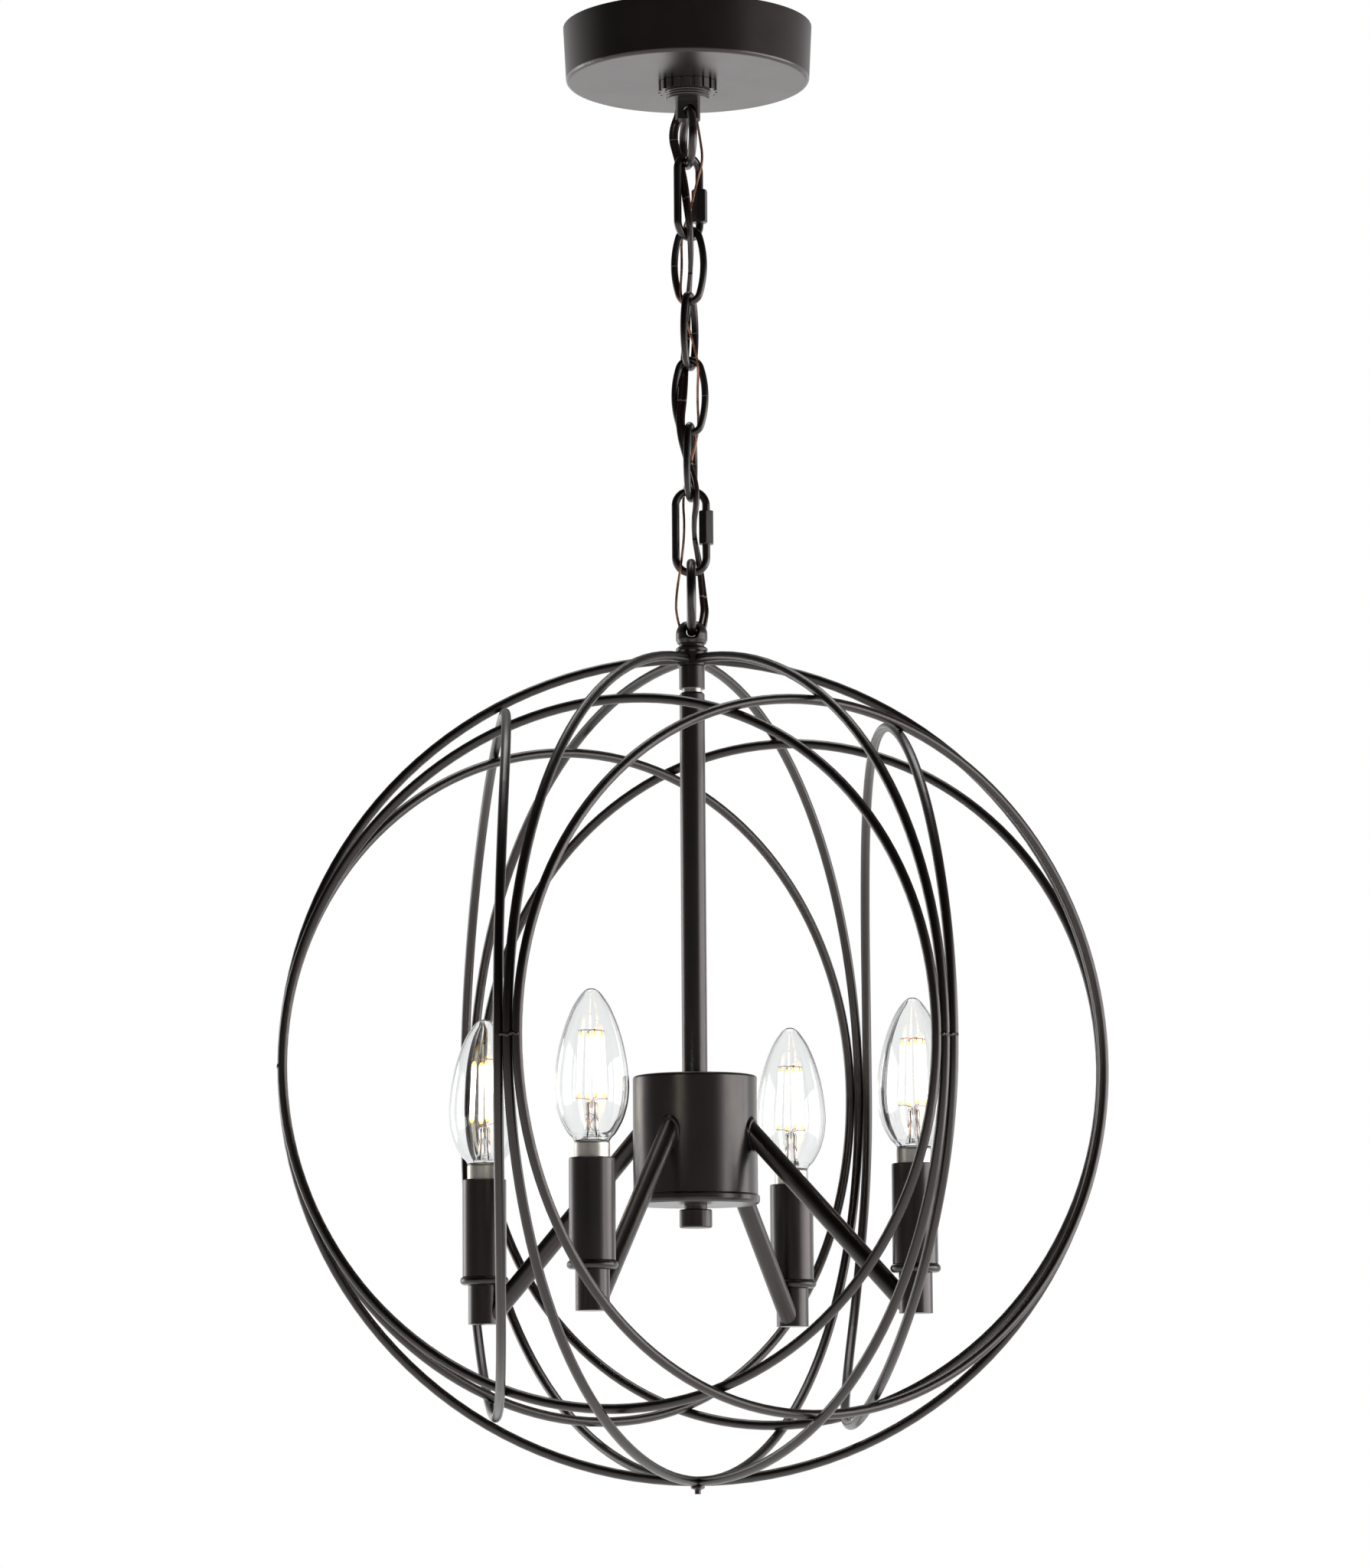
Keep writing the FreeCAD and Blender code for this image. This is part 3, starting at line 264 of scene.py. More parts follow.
def make_smudge_group():
    """Broad, faint handling marks that change how sharp the gloss is."""
    group, entry, leave = new_group(
        "handling marks", [("Scale", 24.0), ("Sharp", 0.35), ("Dull", 0.45)],
        [("Roughness", "NodeSocketFloat")])
    place = add_node(group, "ShaderNodeTexCoord").outputs["Object"]
    marks = ranged(group, noise(group, place, entry.outputs["Scale"], 4.0, 0.65), 0.3, 0.7)
    span = math_node(group, "SUBTRACT", entry.outputs["Dull"], entry.outputs["Sharp"])
    amount = math_node(group, "MULTIPLY", marks, span)
    group.links.new(math_node(group, "ADD", amount, entry.outputs["Sharp"]), leave.inputs["Roughness"])
    return group


POWDER = make_powder_group()
RUB = make_rub_group()
SMUDGE = make_smudge_group()


def place_group(tree, group, **values):
    node = add_node(tree, "ShaderNodeGroup", node_tree=group)
    for name, value in values.items():
        node.inputs[name.replace("_", " ")].default_value = value
    return node


def new_material(name, **sockets):
    """Material with a Principled shader; the keywords set that shader's own sockets."""
    material = bpy.data.materials.new(name)
    material.use_nodes = True
    tree = material.node_tree
    shader = tree.nodes["Principled BSDF"]
    for key, value in sockets.items():
        shader.inputs[key.replace("_", " ")].default_value = value
    return material, tree, shader


def add_bump(tree, shader, height, strength, distance, normal=None):
    bump = add_node(tree, "ShaderNodeBump")
    bump.inputs["Strength"].default_value = strength
    bump.inputs["Distance"].default_value = distance
    tree.links.new(height, bump.inputs["Height"])
    if normal is not None:
        tree.links.new(normal, bump.inputs["Normal"])
    tree.links.new(bump.outputs["Normal"], shader.inputs["Normal"])


# ---------------------------------------------------------------- finishes
def coated_metal(name, dark, warm, sharp, dull, metallic, rub_share, mottle_scale=55.0):
    """Satin coat over steel: mottled colour, fine peel, flecks and rubbed corners."""
    material, tree, shader = new_material(name, Metallic=metallic, Coat_Weight=0.8, Coat_Roughness=0.28,
                                          Specular_Tint=rgb(1.0, 0.84, 0.80))
    powder = place_group(tree, POWDER, Mottle_Scale=mottle_scale)
    rub = place_group(tree, RUB)
    smudge = place_group(tree, SMUDGE, Sharp=sharp, Dull=dull)
    base = mix_colour(tree, powder.outputs["Mottle"], dark, warm)
    fleck = math_node(tree, "MULTIPLY", powder.outputs["Fleck"], 0.25)
    flecked = mix_colour(tree, fleck, base, COPPERY)
    corner = math_node(tree, "MULTIPLY", rub.outputs["Mask"], rub_share)
    tree.links.new(mix_colour(tree, corner, flecked, COPPERY), shader.inputs["Base Color"])
    tree.links.new(smudge.outputs["Roughness"], shader.inputs["Roughness"])
    add_bump(tree, shader, powder.outputs["Grain"], 0.5, COAT_GRAIN, rub.outputs["Normal"])
    return material


def make_plated(name, colour, darker, sharp, dull):
    """Bright plating with cloudy patches and fine lines drawn round the upright axis."""
    material, tree, shader = new_material(name, Metallic=1.0)
    smudge = place_group(tree, SMUDGE, Scale=90.0, Sharp=sharp, Dull=dull)
    powder = place_group(tree, POWDER, Mottle_Scale=140.0)
    tree.links.new(mix_colour(tree, powder.outputs["Mottle"], colour, darker), shader.inputs["Base Color"])
    tree.links.new(smudge.outputs["Roughness"], shader.inputs["Roughness"])
    place = add_node(tree, "ShaderNodeTexCoord").outputs["Object"]
    stretch = add_node(tree, "ShaderNodeMapping")
    stretch.inputs["Scale"].default_value = (40.0, 40.0, 2200.0)
    tree.links.new(place, stretch.inputs["Vector"])
    lines = noise(tree, stretch.outputs["Vector"], 1.0, 2.0)
    add_bump(tree, shader, lines, 0.25, 0.00002)
    return material


def make_glass(name, tint, ripple_scale, ripple_depth):
    """Clear glass whose surface ripples very slightly."""
    material, tree, shader = new_material(name, Transmission_Weight=1.0, Roughness=0.0, IOR=1.47)
    place = add_node(tree, "ShaderNodeTexCoord").outputs["Object"]
    ripple = noise(tree, place, ripple_scale, 1.0)
    tree.links.new(mix_colour(tree, ripple, rgb(0.97, 0.975, 0.975), tint), shader.inputs["Base Color"])
    add_bump(tree, shader, ripple, 0.3, ripple_depth)
    return material


def make_filament_glow(low, high):
    """Lit filament: white along its middle, yellow where the phosphor ends."""
    material, tree, shader = new_material("lit filament", Emission_Strength=5.0, Roughness=0.5)
    place = add_node(tree, "ShaderNodeTexCoord").outputs["Object"]
    parts = add_node(tree, "ShaderNodeSeparateXYZ")
    tree.links.new(place, parts.inputs[0])
    along = ranged(tree, parts.outputs["Z"], low, high)
    ramp = add_node(tree, "ShaderNodeValToRGB")
    stops = ((0.0, rgb(0.5, 0.27, 0.02)), (0.05, rgb(0.8, 0.6, 0.14)), (0.11, rgb(1.0, 0.93, 0.72)),
             (0.89, rgb(1.0, 0.93, 0.72)), (0.95, rgb(0.8, 0.6, 0.14)), (1.0, rgb(0.5, 0.27, 0.02)))
    elements = ramp.color_ramp.elements
    while len(elements) < len(stops):
        elements.new(0.5)
    for element, (position, colour) in zip(elements, stops):
        element.position = position
        element.color = colour
    tree.links.new(along, ramp.inputs["Fac"])
    tree.links.new(ramp.outputs["Color"], shader.inputs["Emission Color"])
    tree.links.new(ramp.outputs["Color"], shader.inputs["Base Color"])
    return material


def make_plastic(name, colour, second, sharp, dull, grain_depth=0.00005):
    """Moulded plastic with faint flow marks."""
    material, tree, shader = new_material(name)
    powder = place_group(tree, POWDER, Grain_Scale=900.0, Mottle_Scale=80.0)
    smudge = place_group(tree, SMUDGE, Scale=60.0, Sharp=sharp, Dull=dull)
    tree.links.new(mix_colour(tree, powder.outputs["Mottle"], colour, second), shader.inputs["Base Color"])
    tree.links.new(smudge.outputs["Roughness"], shader.inputs["Roughness"])
    add_bump(tree, shader, powder.outputs["Grain"], 0.4, grain_depth)
    return material


def make_cord_sheath():
    """Brown sheath; the copper of its two cores shows through as a warmer colour."""
    material, tree, shader = new_material("brown cord sheath", Coat_Weight=0.35, Coat_Roughness=0.12, IOR=1.5)
    across = add_node(tree, "ShaderNodeSeparateXYZ")
    tree.links.new(add_node(tree, "ShaderNodeUVMap", uv_map="around").outputs["UV"], across.inputs[0])
    wave = math_node(tree, "MULTIPLY", across.outputs["X"], 4.0 * math.pi)
    core = ranged(tree, math_node(tree, "COSINE", wave), 0.25, 1.0)
    place = add_node(tree, "ShaderNodeTexCoord").outputs["Object"]
    patch = ranged(tree, noise(tree, place, 350.0, 3.0), 0.35, 0.7)
    lit_core = math_node(tree, "MULTIPLY", core, patch)
    colour = mix_colour(tree, lit_core, rgb(0.022, 0.010, 0.008), rgb(0.11, 0.045, 0.032))
    tree.links.new(colour, shader.inputs["Base Color"])
    smudge = place_group(tree, SMUDGE, Scale=120.0, Sharp=0.18, Dull=0.34)
    tree.links.new(smudge.outputs["Roughness"], shader.inputs["Roughness"])
    add_bump(tree, shader, patch, 0.3, 0.00004)
    return material


def make_copper():
    """Bare copper strand, brighter on some stretches and browned on others."""
    material, tree, shader = new_material("bare copper", Metallic=1.0)
    place = add_node(tree, "ShaderNodeTexCoord").outputs["Object"]
    age = ranged(tree, noise(tree, place, 160.0, 4.0, 0.6), 0.35, 0.65)
    colour = mix_colour(tree, age, rgb(0.66, 0.34, 0.23), rgb(0.17, 0.075, 0.05))
    tree.links.new(colour, shader.inputs["Base Color"])
    tree.links.new(ranged(tree, age, 0.0, 1.0, 0.26, 0.44), shader.inputs["Roughness"])
    return material


DARK = rgb(0.0070, 0.0048, 0.0046)
WARM = rgb(0.0130, 0.0078, 0.0072)
COPPERY = rgb(0.085, 0.036, 0.026)   # what rubbed corners and flecks of the coat show
COAT_GRAIN = 0.00003                 # depth of the coat's peel

bronze = coated_metal("satin bronze", DARK, WARM, 0.30, 0.38, 0.1, 0.55)
cage_bronze = coated_metal("cage wire bronze", DARK, WARM, 0.32, 0.42, 0.1, 0.35, 35.0)
link_bronze = coated_metal("chain bronze", rgb(0.0055, 0.0040, 0.0037), rgb(0.0110, 0.0064, 0.0055),
                           0.22, 0.34, 0.15, 0.8, 120.0)
zinc = make_plated("zinc plate", rgb(0.68, 0.67, 0.63), rgb(0.50, 0.49, 0.46), 0.22, 0.40)
nickel = make_plated("bulb nickel", rgb(0.80, 0.77, 0.71), rgb(0.66, 0.62, 0.56), 0.34, 0.44)
green_plate = make_plated("green plate", rgb(0.04, 0.30, 0.10), rgb(0.03, 0.20, 0.07), 0.25, 0.40)
clear_glass = make_glass("clear bulb glass", rgb(0.92, 0.93, 0.93), 30.0, 0.00001)
mount_glass = make_glass("glass mount", rgb(0.95, 0.96, 0.97), 250.0, 0.00008)
wire_nut_plastic = make_plastic("wire nut plastic", rgb(0.62, 0.20, 0.03), rgb(0.50, 0.15, 0.02), 0.35, 0.5)
holder_plastic = make_plastic("lamp holder plastic", rgb(0.018, 0.017, 0.016), rgb(0.03, 0.028, 0.026),
                              0.35, 0.5)
lead_plastic = make_plastic("lead sheath", rgb(0.012, 0.012, 0.012), rgb(0.03, 0.03, 0.03),
                            0.3, 0.45, 0.00003)
sheath = make_cord_sheath()
copper = make_copper()


def finish_nodes():
    """Every CAD node that stays gets its own finish."""
    finishes = {node: bronze for node in frame["nodes"]}
    for node in frame["nodes"]:
        if node.startswith(("great_ring", "side_ring")):
            finishes[node] = cage_bronze
        if node.startswith(("chain_link", "quick_link")) or node in ("canopy_ring", "hang_ring"):
            finishes[node] = link_bronze
    for node in ("ceiling_strap", "strap_nut", "ceiling_pipe", "hub_nut", "hub_pipe", "stem_pipe",
                 "lamp_pipes"):
        finishes[node] = zinc
    finishes["ground_screw"] = green_plate
    finishes["canopy_wire_nuts"] = wire_nut_plastic
    finishes["hub_wire_nuts"] = wire_nut_plastic
    finishes["lamp_holders"] = holder_plastic
    finishes["lamp_leads"] = lead_plastic
    for node, material in finishes.items():
        mesh = frame["nodes"][node].data
        mesh.materials.clear()
        mesh.materials.append(material)


# ---------------------------------------------------------------- mesh helpers
def new_piece(name, vertices, faces, material, smooth=True):
    mesh = bpy.data.meshes.new(name)
    mesh.from_pydata([tuple(v) for v in vertices], [], faces)
    mesh.materials.append(material)
    mesh.update()
    if smooth:
        mesh.shade_smooth()
    piece = bpy.data.objects.new(name, mesh)
    bpy.context.scene.collection.objects.link(piece)
    return piece


def turned_faces(profile, centre, steps, first=0):
    """Vertices and faces of a shape turned about an upright axis.

    profile holds (r, z) points that run anticlockwise; first is the number of the first vertex."""
    vertices = []
    rows = []
    for radius, z in profile:
        if radius < 1e-7:
            rows.append([first + len(vertices)] * steps)
            vertices.append(Vector((centre.x, centre.y, z)))
            continue
        row = []
        for i in range(steps):
            angle = 2 * math.pi * i / steps
            row.append(first + len(vertices))
            vertices.append(Vector((centre.x + radius * math.cos(angle),
                                    centre.y + radius * math.sin(angle), z)))
        rows.append(row)
    faces = []
    for low, high in zip(rows, rows[1:]):
        for i in range(steps):
            j = (i + 1) % steps
            corners = [low[i], low[j], high[j], high[i]]
            corners = [c for k, c in enumerate(corners) if c != corners[k - 1]]
            if len(corners) > 2:
                faces.append(corners)
    return vertices, faces


def smooth_profile(points, steps):
    """Points of a smooth curve through the given (r, z) points."""
    result = []
    for i in range(len(points) - 1):
        before = Vector(points[max(i - 1, 0)])
        start = Vector(points[i])
        end = Vector(points[i + 1])
        after = Vector(points[min(i + 2, len(points) - 1)])
        for k in range(steps):
            t = k / steps
            out_way = (end - before) * 0.5
            in_way = (after - start) * 0.5
            point = (start * (2 * t ** 3 - 3 * t ** 2 + 1) + out_way * (t ** 3 - 2 * t ** 2 + t)
                     + end * (3 * t ** 2 - 2 * t ** 3) + in_way * (t ** 3 - t ** 2))
            result.append((max(point.x, 0.0), point.y))
    result.append(tuple(points[-1]))
    return result


def line_frames(points):
    """Tangent and two sideways directions at each point, carried along without turning."""
    frames = []
    side = None
    for i, point in enumerate(points):
        ahead = points[min(i + 1, len(points) - 1)]
        behind = points[max(i - 1, 0)]
        tangent = (ahead - behind).normalized()
        if side is None:
            side = tangent.orthogonal().normalized()
        side = (side - tangent * side.dot(tangent)).normalized()
        frames.append((tangent, side, tangent.cross(side)))
    return frames


def swept_faces(points, frames, section, turns, first=0):
    """Closed tube along points. section holds (side, up) offsets and turns the turn at each point."""
    vertices = []
    faces = []
    count = len(section)
    for point, (tangent, side, up), turn in zip(points, frames, turns):
        c = math.cos(turn)
        s = math.sin(turn)
        for a, b in section:
            vertices.append(point + side * (a * c - b * s) + up * (a * s + b * c))
    for i in range(len(points) - 1):
        for k in range(count):
            j = (k + 1) % count
            low = first + i * count
            faces.append((low + k, low + j, low + count + j, low + count + k))
    last = first + (len(points) - 1) * count
    faces.append(tuple(first + k for k in reversed(range(count))))
    faces.append(tuple(last + k for k in range(count)))
    return vertices, faces


def circle_section(radius, sides):
    return [(radius * math.cos(2 * math.pi * k / sides), radius * math.sin(2 * math.pi * k / sides))
            for k in range(sides)]


def add_wire(store, points, radius, sides=8):
    """Adds a thin round wire to a (vertices, faces) store."""
    vertices, faces = swept_faces(points, line_frames(points), circle_section(radius, sides),
                                  [0.0] * len(points), len(store[0]))
    store[0].extend(vertices)
    store[1].extend(faces)


# ---------------------------------------------------------------- cord and ground wire
def spline_points(name, route):
    """Points along the smooth spline that has the route as its control points."""
    curve = bpy.data.curves.new(name, "CURVE")
    curve.dimensions = "3D"
    curve.resolution_u = SPLINE_STEPS
    spline = curve.splines.new("NURBS")
    spline.points.add(len(route) - 1)
    for point, place in zip(spline.points, route):
        point.co = (*place, 1.0)
    spline.order_u = 3
    spline.use_endpoint_u = True
    holder = bpy.data.objects.new(name, curve)
    bpy.context.scene.collection.objects.link(holder)
    graph = bpy.context.evaluated_depsgraph_get()
    mesh = bpy.data.meshes.new_from_object(holder.evaluated_get(graph))
    points = [v.co.copy() for v in mesh.vertices]
    bpy.data.objects.remove(holder)
    return points


def joint_height(child):
    for joint in frame["joints"]:
        if joint["child"] == child:
            return joint["pos_m"][2]
    return 0.0


def chain_bends():
    """For each two neighbours down the chain: their bodies, and where the bend between them starts
    and ends. The last bend is over before the cord enters the stem."""
    bends = []
    for upper, lower in zip(CHAIN_BODIES, CHAIN_BODIES[1:]):
        hinge = joint_height(lower)
        bends.append((upper, lower, hinge + BEND_REACH, hinge - BEND_REACH))
    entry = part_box("loop_body")[1].z
    bends[-1] = (*bends[-1][:2], entry + STEM_BEND[0], entry + STEM_BEND[1])
    return bends


def cut_line(points):
    """Splits a falling line between one bend and the next; neighbours share their end points."""
    bends = chain_bends()
    pieces = []
    start = 0
    for i, bend in enumerate(bends):
        below = (bend[3] + bends[i + 1][2]) / 2 if i + 1 < len(bends) else points[-1].z
        end = start + 1
        while end < len(points) - 1 and points[end].z > below:
            end += 1
        pieces.append((*bend, start, end))
        start = end
    return pieces


def twist_along(points, rate):
    """Turn at each point of a line that twists by rate radians per metre."""
    turns = [0.0]
    for a, b in zip(points, points[1:]):
        turns.append(turns[-1] + (b - a).length * rate)
    return turns


def cord_section():
    """Figure of eight: two round cores side by side under one sheath."""
    core_r = CORD_THICKNESS / 2
    core_side = CORD_WIDTH / 2 - core_r
    section = []
    for k in range(CORD_SIDES):
        angle = 2 * math.pi * k / CORD_SIDES
        side = CORD_WIDTH / 2 * math.cos(angle)
        share = (abs(side) - core_side) / core_r
        height = core_r * max(math.sqrt(max(0.0, 1.0 - share * share)), CORD_WAIST if share < 0 else 0.0)
        section.append((side, math.copysign(height, math.sin(angle))))
    return section


def make_lamp_cord():
    """Two-core cord, cut into one piece for each bend of the chain."""
    points = spline_points("cord_line", CORD_ROUTE)
    frames = line_frames(points)
    section = cord_section()
    turns = twist_along(points, CORD_TWIST)
    for number, (upper, lower, high, low, start, end) in enumerate(cut_line(points), 1):
        span = slice(start, end + 1)
        vertices, faces = swept_faces(points[span], frames[span], section, turns[span])
        piece = new_piece("lamp_cord_%d" % number, vertices, faces, sheath)
        map_around(piece, len(section), turns[start])
        settle_on_chain(piece, "lamp_cord")


def map_around(piece, count, offset):
    """UV: once round the section across, and the length along it."""
    layer = piece.data.uv_layers.new(name="around")
    for polygon in piece.data.polygons:
        columns = [piece.data.loops[i].vertex_index % count for i in polygon.loop_indices]
        wraps = len(columns) == 4 and max(columns) - min(columns) > 1
        for i, column in zip(polygon.loop_indices, columns):
            row = piece.data.loops[i].vertex_index // count
            across = 1.0 if wraps and column == 0 else column / count
            layer.data[i].uv = (across, row * 0.05 + offset)


def settle_on_chain(piece, node):
    """Fixes a piece of cord where it lies and hides the CAD node that it stands in for."""
    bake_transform(piece)
    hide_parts(node)


def make_ground_wire():
    """Bare wire of twisted copper strands, cut like the cord; twice as many points carry the twist."""
    coarse = spline_points("ground_line", GROUND_ROUTE)
    points = []
    for a, b in zip(coarse, coarse[1:]):
        points += [a, (a + b) * 0.5]
    points.append(coarse[-1])
    frames = line_frames(points)
    turns = twist_along(points, 2 * math.pi / STRAND_PITCH)
    centre_r = GROUND_R - STRAND_R
    for number, (upper, lower, high, low, start, end) in enumerate(cut_line(points), 1):
        span = slice(start, end + 1)
        vertices = []
        faces = []
        for strand in range(STRAND_COUNT):
            angle = 2 * math.pi * strand / STRAND_COUNT
            section = [(centre_r * math.cos(angle) + a, centre_r * math.sin(angle) + b)
                       for a, b in circle_section(STRAND_R, 6)]
            more, these = swept_faces(points[span], frames[span], section, turns[span], len(vertices))
            vertices += more
            faces += these
        piece = new_piece("ground_wire_%d" % number, vertices, faces, copper)
        settle_on_chain(piece, "ground_wire")


# ---------------------------------------------------------------- bulbs
def lamp_axis(number):
    low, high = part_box("bulb_glass_%d" % number)
    return Vector(((low.x + high.x) / 2, (low.y + high.y) / 2, 0.0))


def glass_levels(number):
    low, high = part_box("bulb_glass_%d" % number)
    return low.z, high.z


def glass_outline(bottom, top, inset):
    """Half outline of the candle-shaped glass, from its neck to its tip."""
    height = top - bottom
    points = [(radius * MM - inset, bottom + inset + share * (height - 2 * inset))
              for share, radius in GLASS_SHAPE]
    points.append((2.6 * MM, top - inset - 0.75 * MM))
    points.append((0.0, top - inset))
    return points


def make_bulb_glass(number):
    """Hollow glass: an outer skin and, turned inside out, an inner one."""
    centre = lamp_axis(number)
    bottom, top = glass_levels(number)
    outer = smooth_profile(glass_outline(bottom, top, 0.0), 6)
    inner = smooth_profile(glass_outline(bottom, top, GLASS_WALL), 6)
    profile = [(0.0, bottom)] + outer
    vertices, faces = turned_faces(profile, centre, GLASS_STEPS)
    inside = [(0.0, bottom + GLASS_WALL)] + inner
    more, inner_faces = turned_faces(inside, centre, GLASS_STEPS, len(vertices))
    faces += [tuple(reversed(face)) for face in inner_faces]
    piece = new_piece("glass_%d" % number, vertices + more, faces, clear_glass)
    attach(piece, "bulb_%d" % number)
    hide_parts("bulb_glass_%d" % number)


def make_bulb_base(number):
    """Collar, rolled screw shell and contact of the bulb."""
    centre = lamp_axis(number)
    bottom = glass_levels(number)[0]
    collar_low = bottom - COLLAR_H
    screw_low = collar_low - SCREW_H
    profile = [(0.0, screw_low - 1.8 * MM), (2.6 * MM, screw_low - 1.8 * MM),
               (3.0 * MM, screw_low - 1.2 * MM), (4.8 * MM, screw_low), (5.6 * MM, screw_low + 0.8 * MM)]
    pitch = (SCREW_H - 3.0 * MM) / THREAD_TURNS
    for k in range(THREAD_TURNS * THREAD_STEPS + 1):
        z = screw_low + 1.2 * MM + pitch * k / THREAD_STEPS
        profile.append((SCREW_R - 0.35 * MM + 0.3 * MM * math.cos(2 * math.pi * k / THREAD_STEPS), z))
    profile += [(SCREW_R - 0.3 * MM, collar_low), (COLLAR_R - 0.7 * MM, collar_low + 0.2 * MM),
                (COLLAR_R, collar_low + 0.8 * MM), (COLLAR_R, collar_low + 1.0 * MM),
                (COLLAR_R, bottom - 1.2 * MM), (COLLAR_R, bottom - 1.0 * MM),
                (COLLAR_R - 0.12 * MM, bottom - 0.5 * MM), (COLLAR_R - 0.35 * MM, bottom - 0.1 * MM),
                (COLLAR_R - 0.9 * MM, bottom), (0.0, bottom)]
    vertices, faces = turned_faces(profile, centre, COLLAR_STEPS)
    piece = new_piece("bulb_collar_%d" % number, vertices, faces, nickel)
    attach(piece, "bulb_%d" % number)
    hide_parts("bulb_base_%d" % number)


def make_bulb_mount(number):
    """Flared glass foot with the pinch that holds the wires."""
    centre = lamp_axis(number)
    foot = glass_levels(number)[0] + GLASS_WALL + 0.1 * MM
    head = foot + MOUNT_HEIGHT
    outline = smooth_profile([(6.4 * MM, foot), (5.0 * MM, foot + 1.6 * MM), (3.3 * MM, foot + 5.0 * MM),
                              (2.9 * MM, foot + 10.0 * MM), (2.2 * MM, foot + 13.0 * MM),
                              (2.3 * MM, head - 2.0 * MM), (1.9 * MM, head - 0.4 * MM)], 4)
    profile = [(0.0, foot)] + outline + [(0.0, head)]
    vertices, faces = turned_faces(profile, centre, MOUNT_STEPS)
    for vertex in vertices:
        pinch = min(1.0, max(0.0, (vertex.z - foot - 9.0 * MM) / (4.0 * MM)))
        vertex.y = centre.y + (vertex.y - centre.y) * (1.0 - 0.45 * pinch)
        vertex.x = centre.x + (vertex.x - centre.x) * (1.0 + 0.35 * pinch)
    piece = new_piece("glass_mount_%d" % number, vertices, faces, mount_glass)
    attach(piece, "bulb_%d" % number)


def filament_ends(number, quarter):
    """Lower and upper end of one of the four filaments, which lean together at the top."""
    centre = lamp_axis(number)
    low_z = glass_levels(number)[0] + GLASS_WALL + MOUNT_HEIGHT + 2.1 * MM
    angle = FILAMENT_TURN + math.pi / 2 * quarter
    outward = Vector((math.cos(angle), math.sin(angle), 0.0))
    low = centre + outward * FILAMENT_SPREAD + Vector((0, 0, low_z))
    high = centre + outward * (FILAMENT_SPREAD * FILAMENT_LEAN) + Vector((0, 0, low_z + FILAMENT_LENGTH))
    return low, high, outward


def make_filaments(number):
    """Four rods of phosphor, thinner at their ends and very slightly ribbed."""
    vertices = []
    faces = []
    for quarter in range(4):
        low, high = filament_ends(number, quarter)[:2]
        points = [low.lerp(high, k / FILAMENT_STEPS) for k in range(FILAMENT_STEPS + 1)]
        more, these = swept_faces(points, line_frames(points), circle_section(FILAMENT_R, FILAMENT_SIDES),
                                  [0.0] * len(points), len(vertices))
        for k, point in enumerate(points):
            end_fade = min(k, FILAMENT_STEPS - k) / 2.0
            share = min(1.0, 0.45 + 0.55 * end_fade) * (1.0 + 0.04 * math.cos(k * math.pi))
            row = slice(k * FILAMENT_SIDES, (k + 1) * FILAMENT_SIDES)
            more[row] = [point + (corner - point) * share for corner in more[row]]
        vertices += more
        faces += these
    piece = new_piece("filaments_%d" % number, vertices, faces, filament_glow)
    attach(piece, "bulb_%d" % number)


def make_filament_wires(number):
    """Support wires: a cross at the top, four arms at the bottom and the lead-in wires of the mount."""
    centre = lamp_axis(number)
    bottom = glass_levels(number)[0]
    head = bottom + GLASS_WALL + MOUNT_HEIGHT
    store = ([], [])
    hub_low = centre + Vector((0, 0, head + 0.6 * MM))
    top_hub = centre + Vector((0, 0, head + FILAMENT_LENGTH + 3.6 * MM))
    for quarter in range(4):
        low, high, outward = filament_ends(number, quarter)
        start = centre + outward * (1.5 * MM) + Vector((0, 0, head - 3.0 * MM))
        knee = centre + outward * (FILAMENT_SPREAD * 0.55) + Vector((0, 0, head + 1.6 * MM))
        elbow = low + outward * (1.3 * MM) - Vector((0, 0, 0.6 * MM))
        bend = hub_low + outward * (1.2 * MM)
        add_wire(store, [start, bend, knee, elbow, low + Vector((0, 0, 0.8 * MM))], WIRE_R)
        above = high + Vector((0, 0, 1.4 * MM))
        tip = high + outward * (1.5 * MM) + Vector((0, 0, 1.0 * MM))
        add_wire(store, [high - Vector((0, 0, 0.8 * MM)), above, tip], WIRE_R)
        add_wire(store, [top_hub, above], WIRE_R)
    foot = bottom + GLASS_WALL + 1.0 * MM
    for side in (-1, 1):
        line = [centre + Vector((side * 1.6 * MM, 0, foot)),
                centre + Vector((side * 1.2 * MM, 0, foot + 7 * MM)),
                centre + Vector((side * 1.7 * MM, 0, head - 1.0 * MM))]
        add_wire(store, line, LEAD_WIRE_R)
    piece = new_piece("filament_wires_%d" % number, store[0], store[1], copper)
    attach(piece, "bulb_%d" % number)


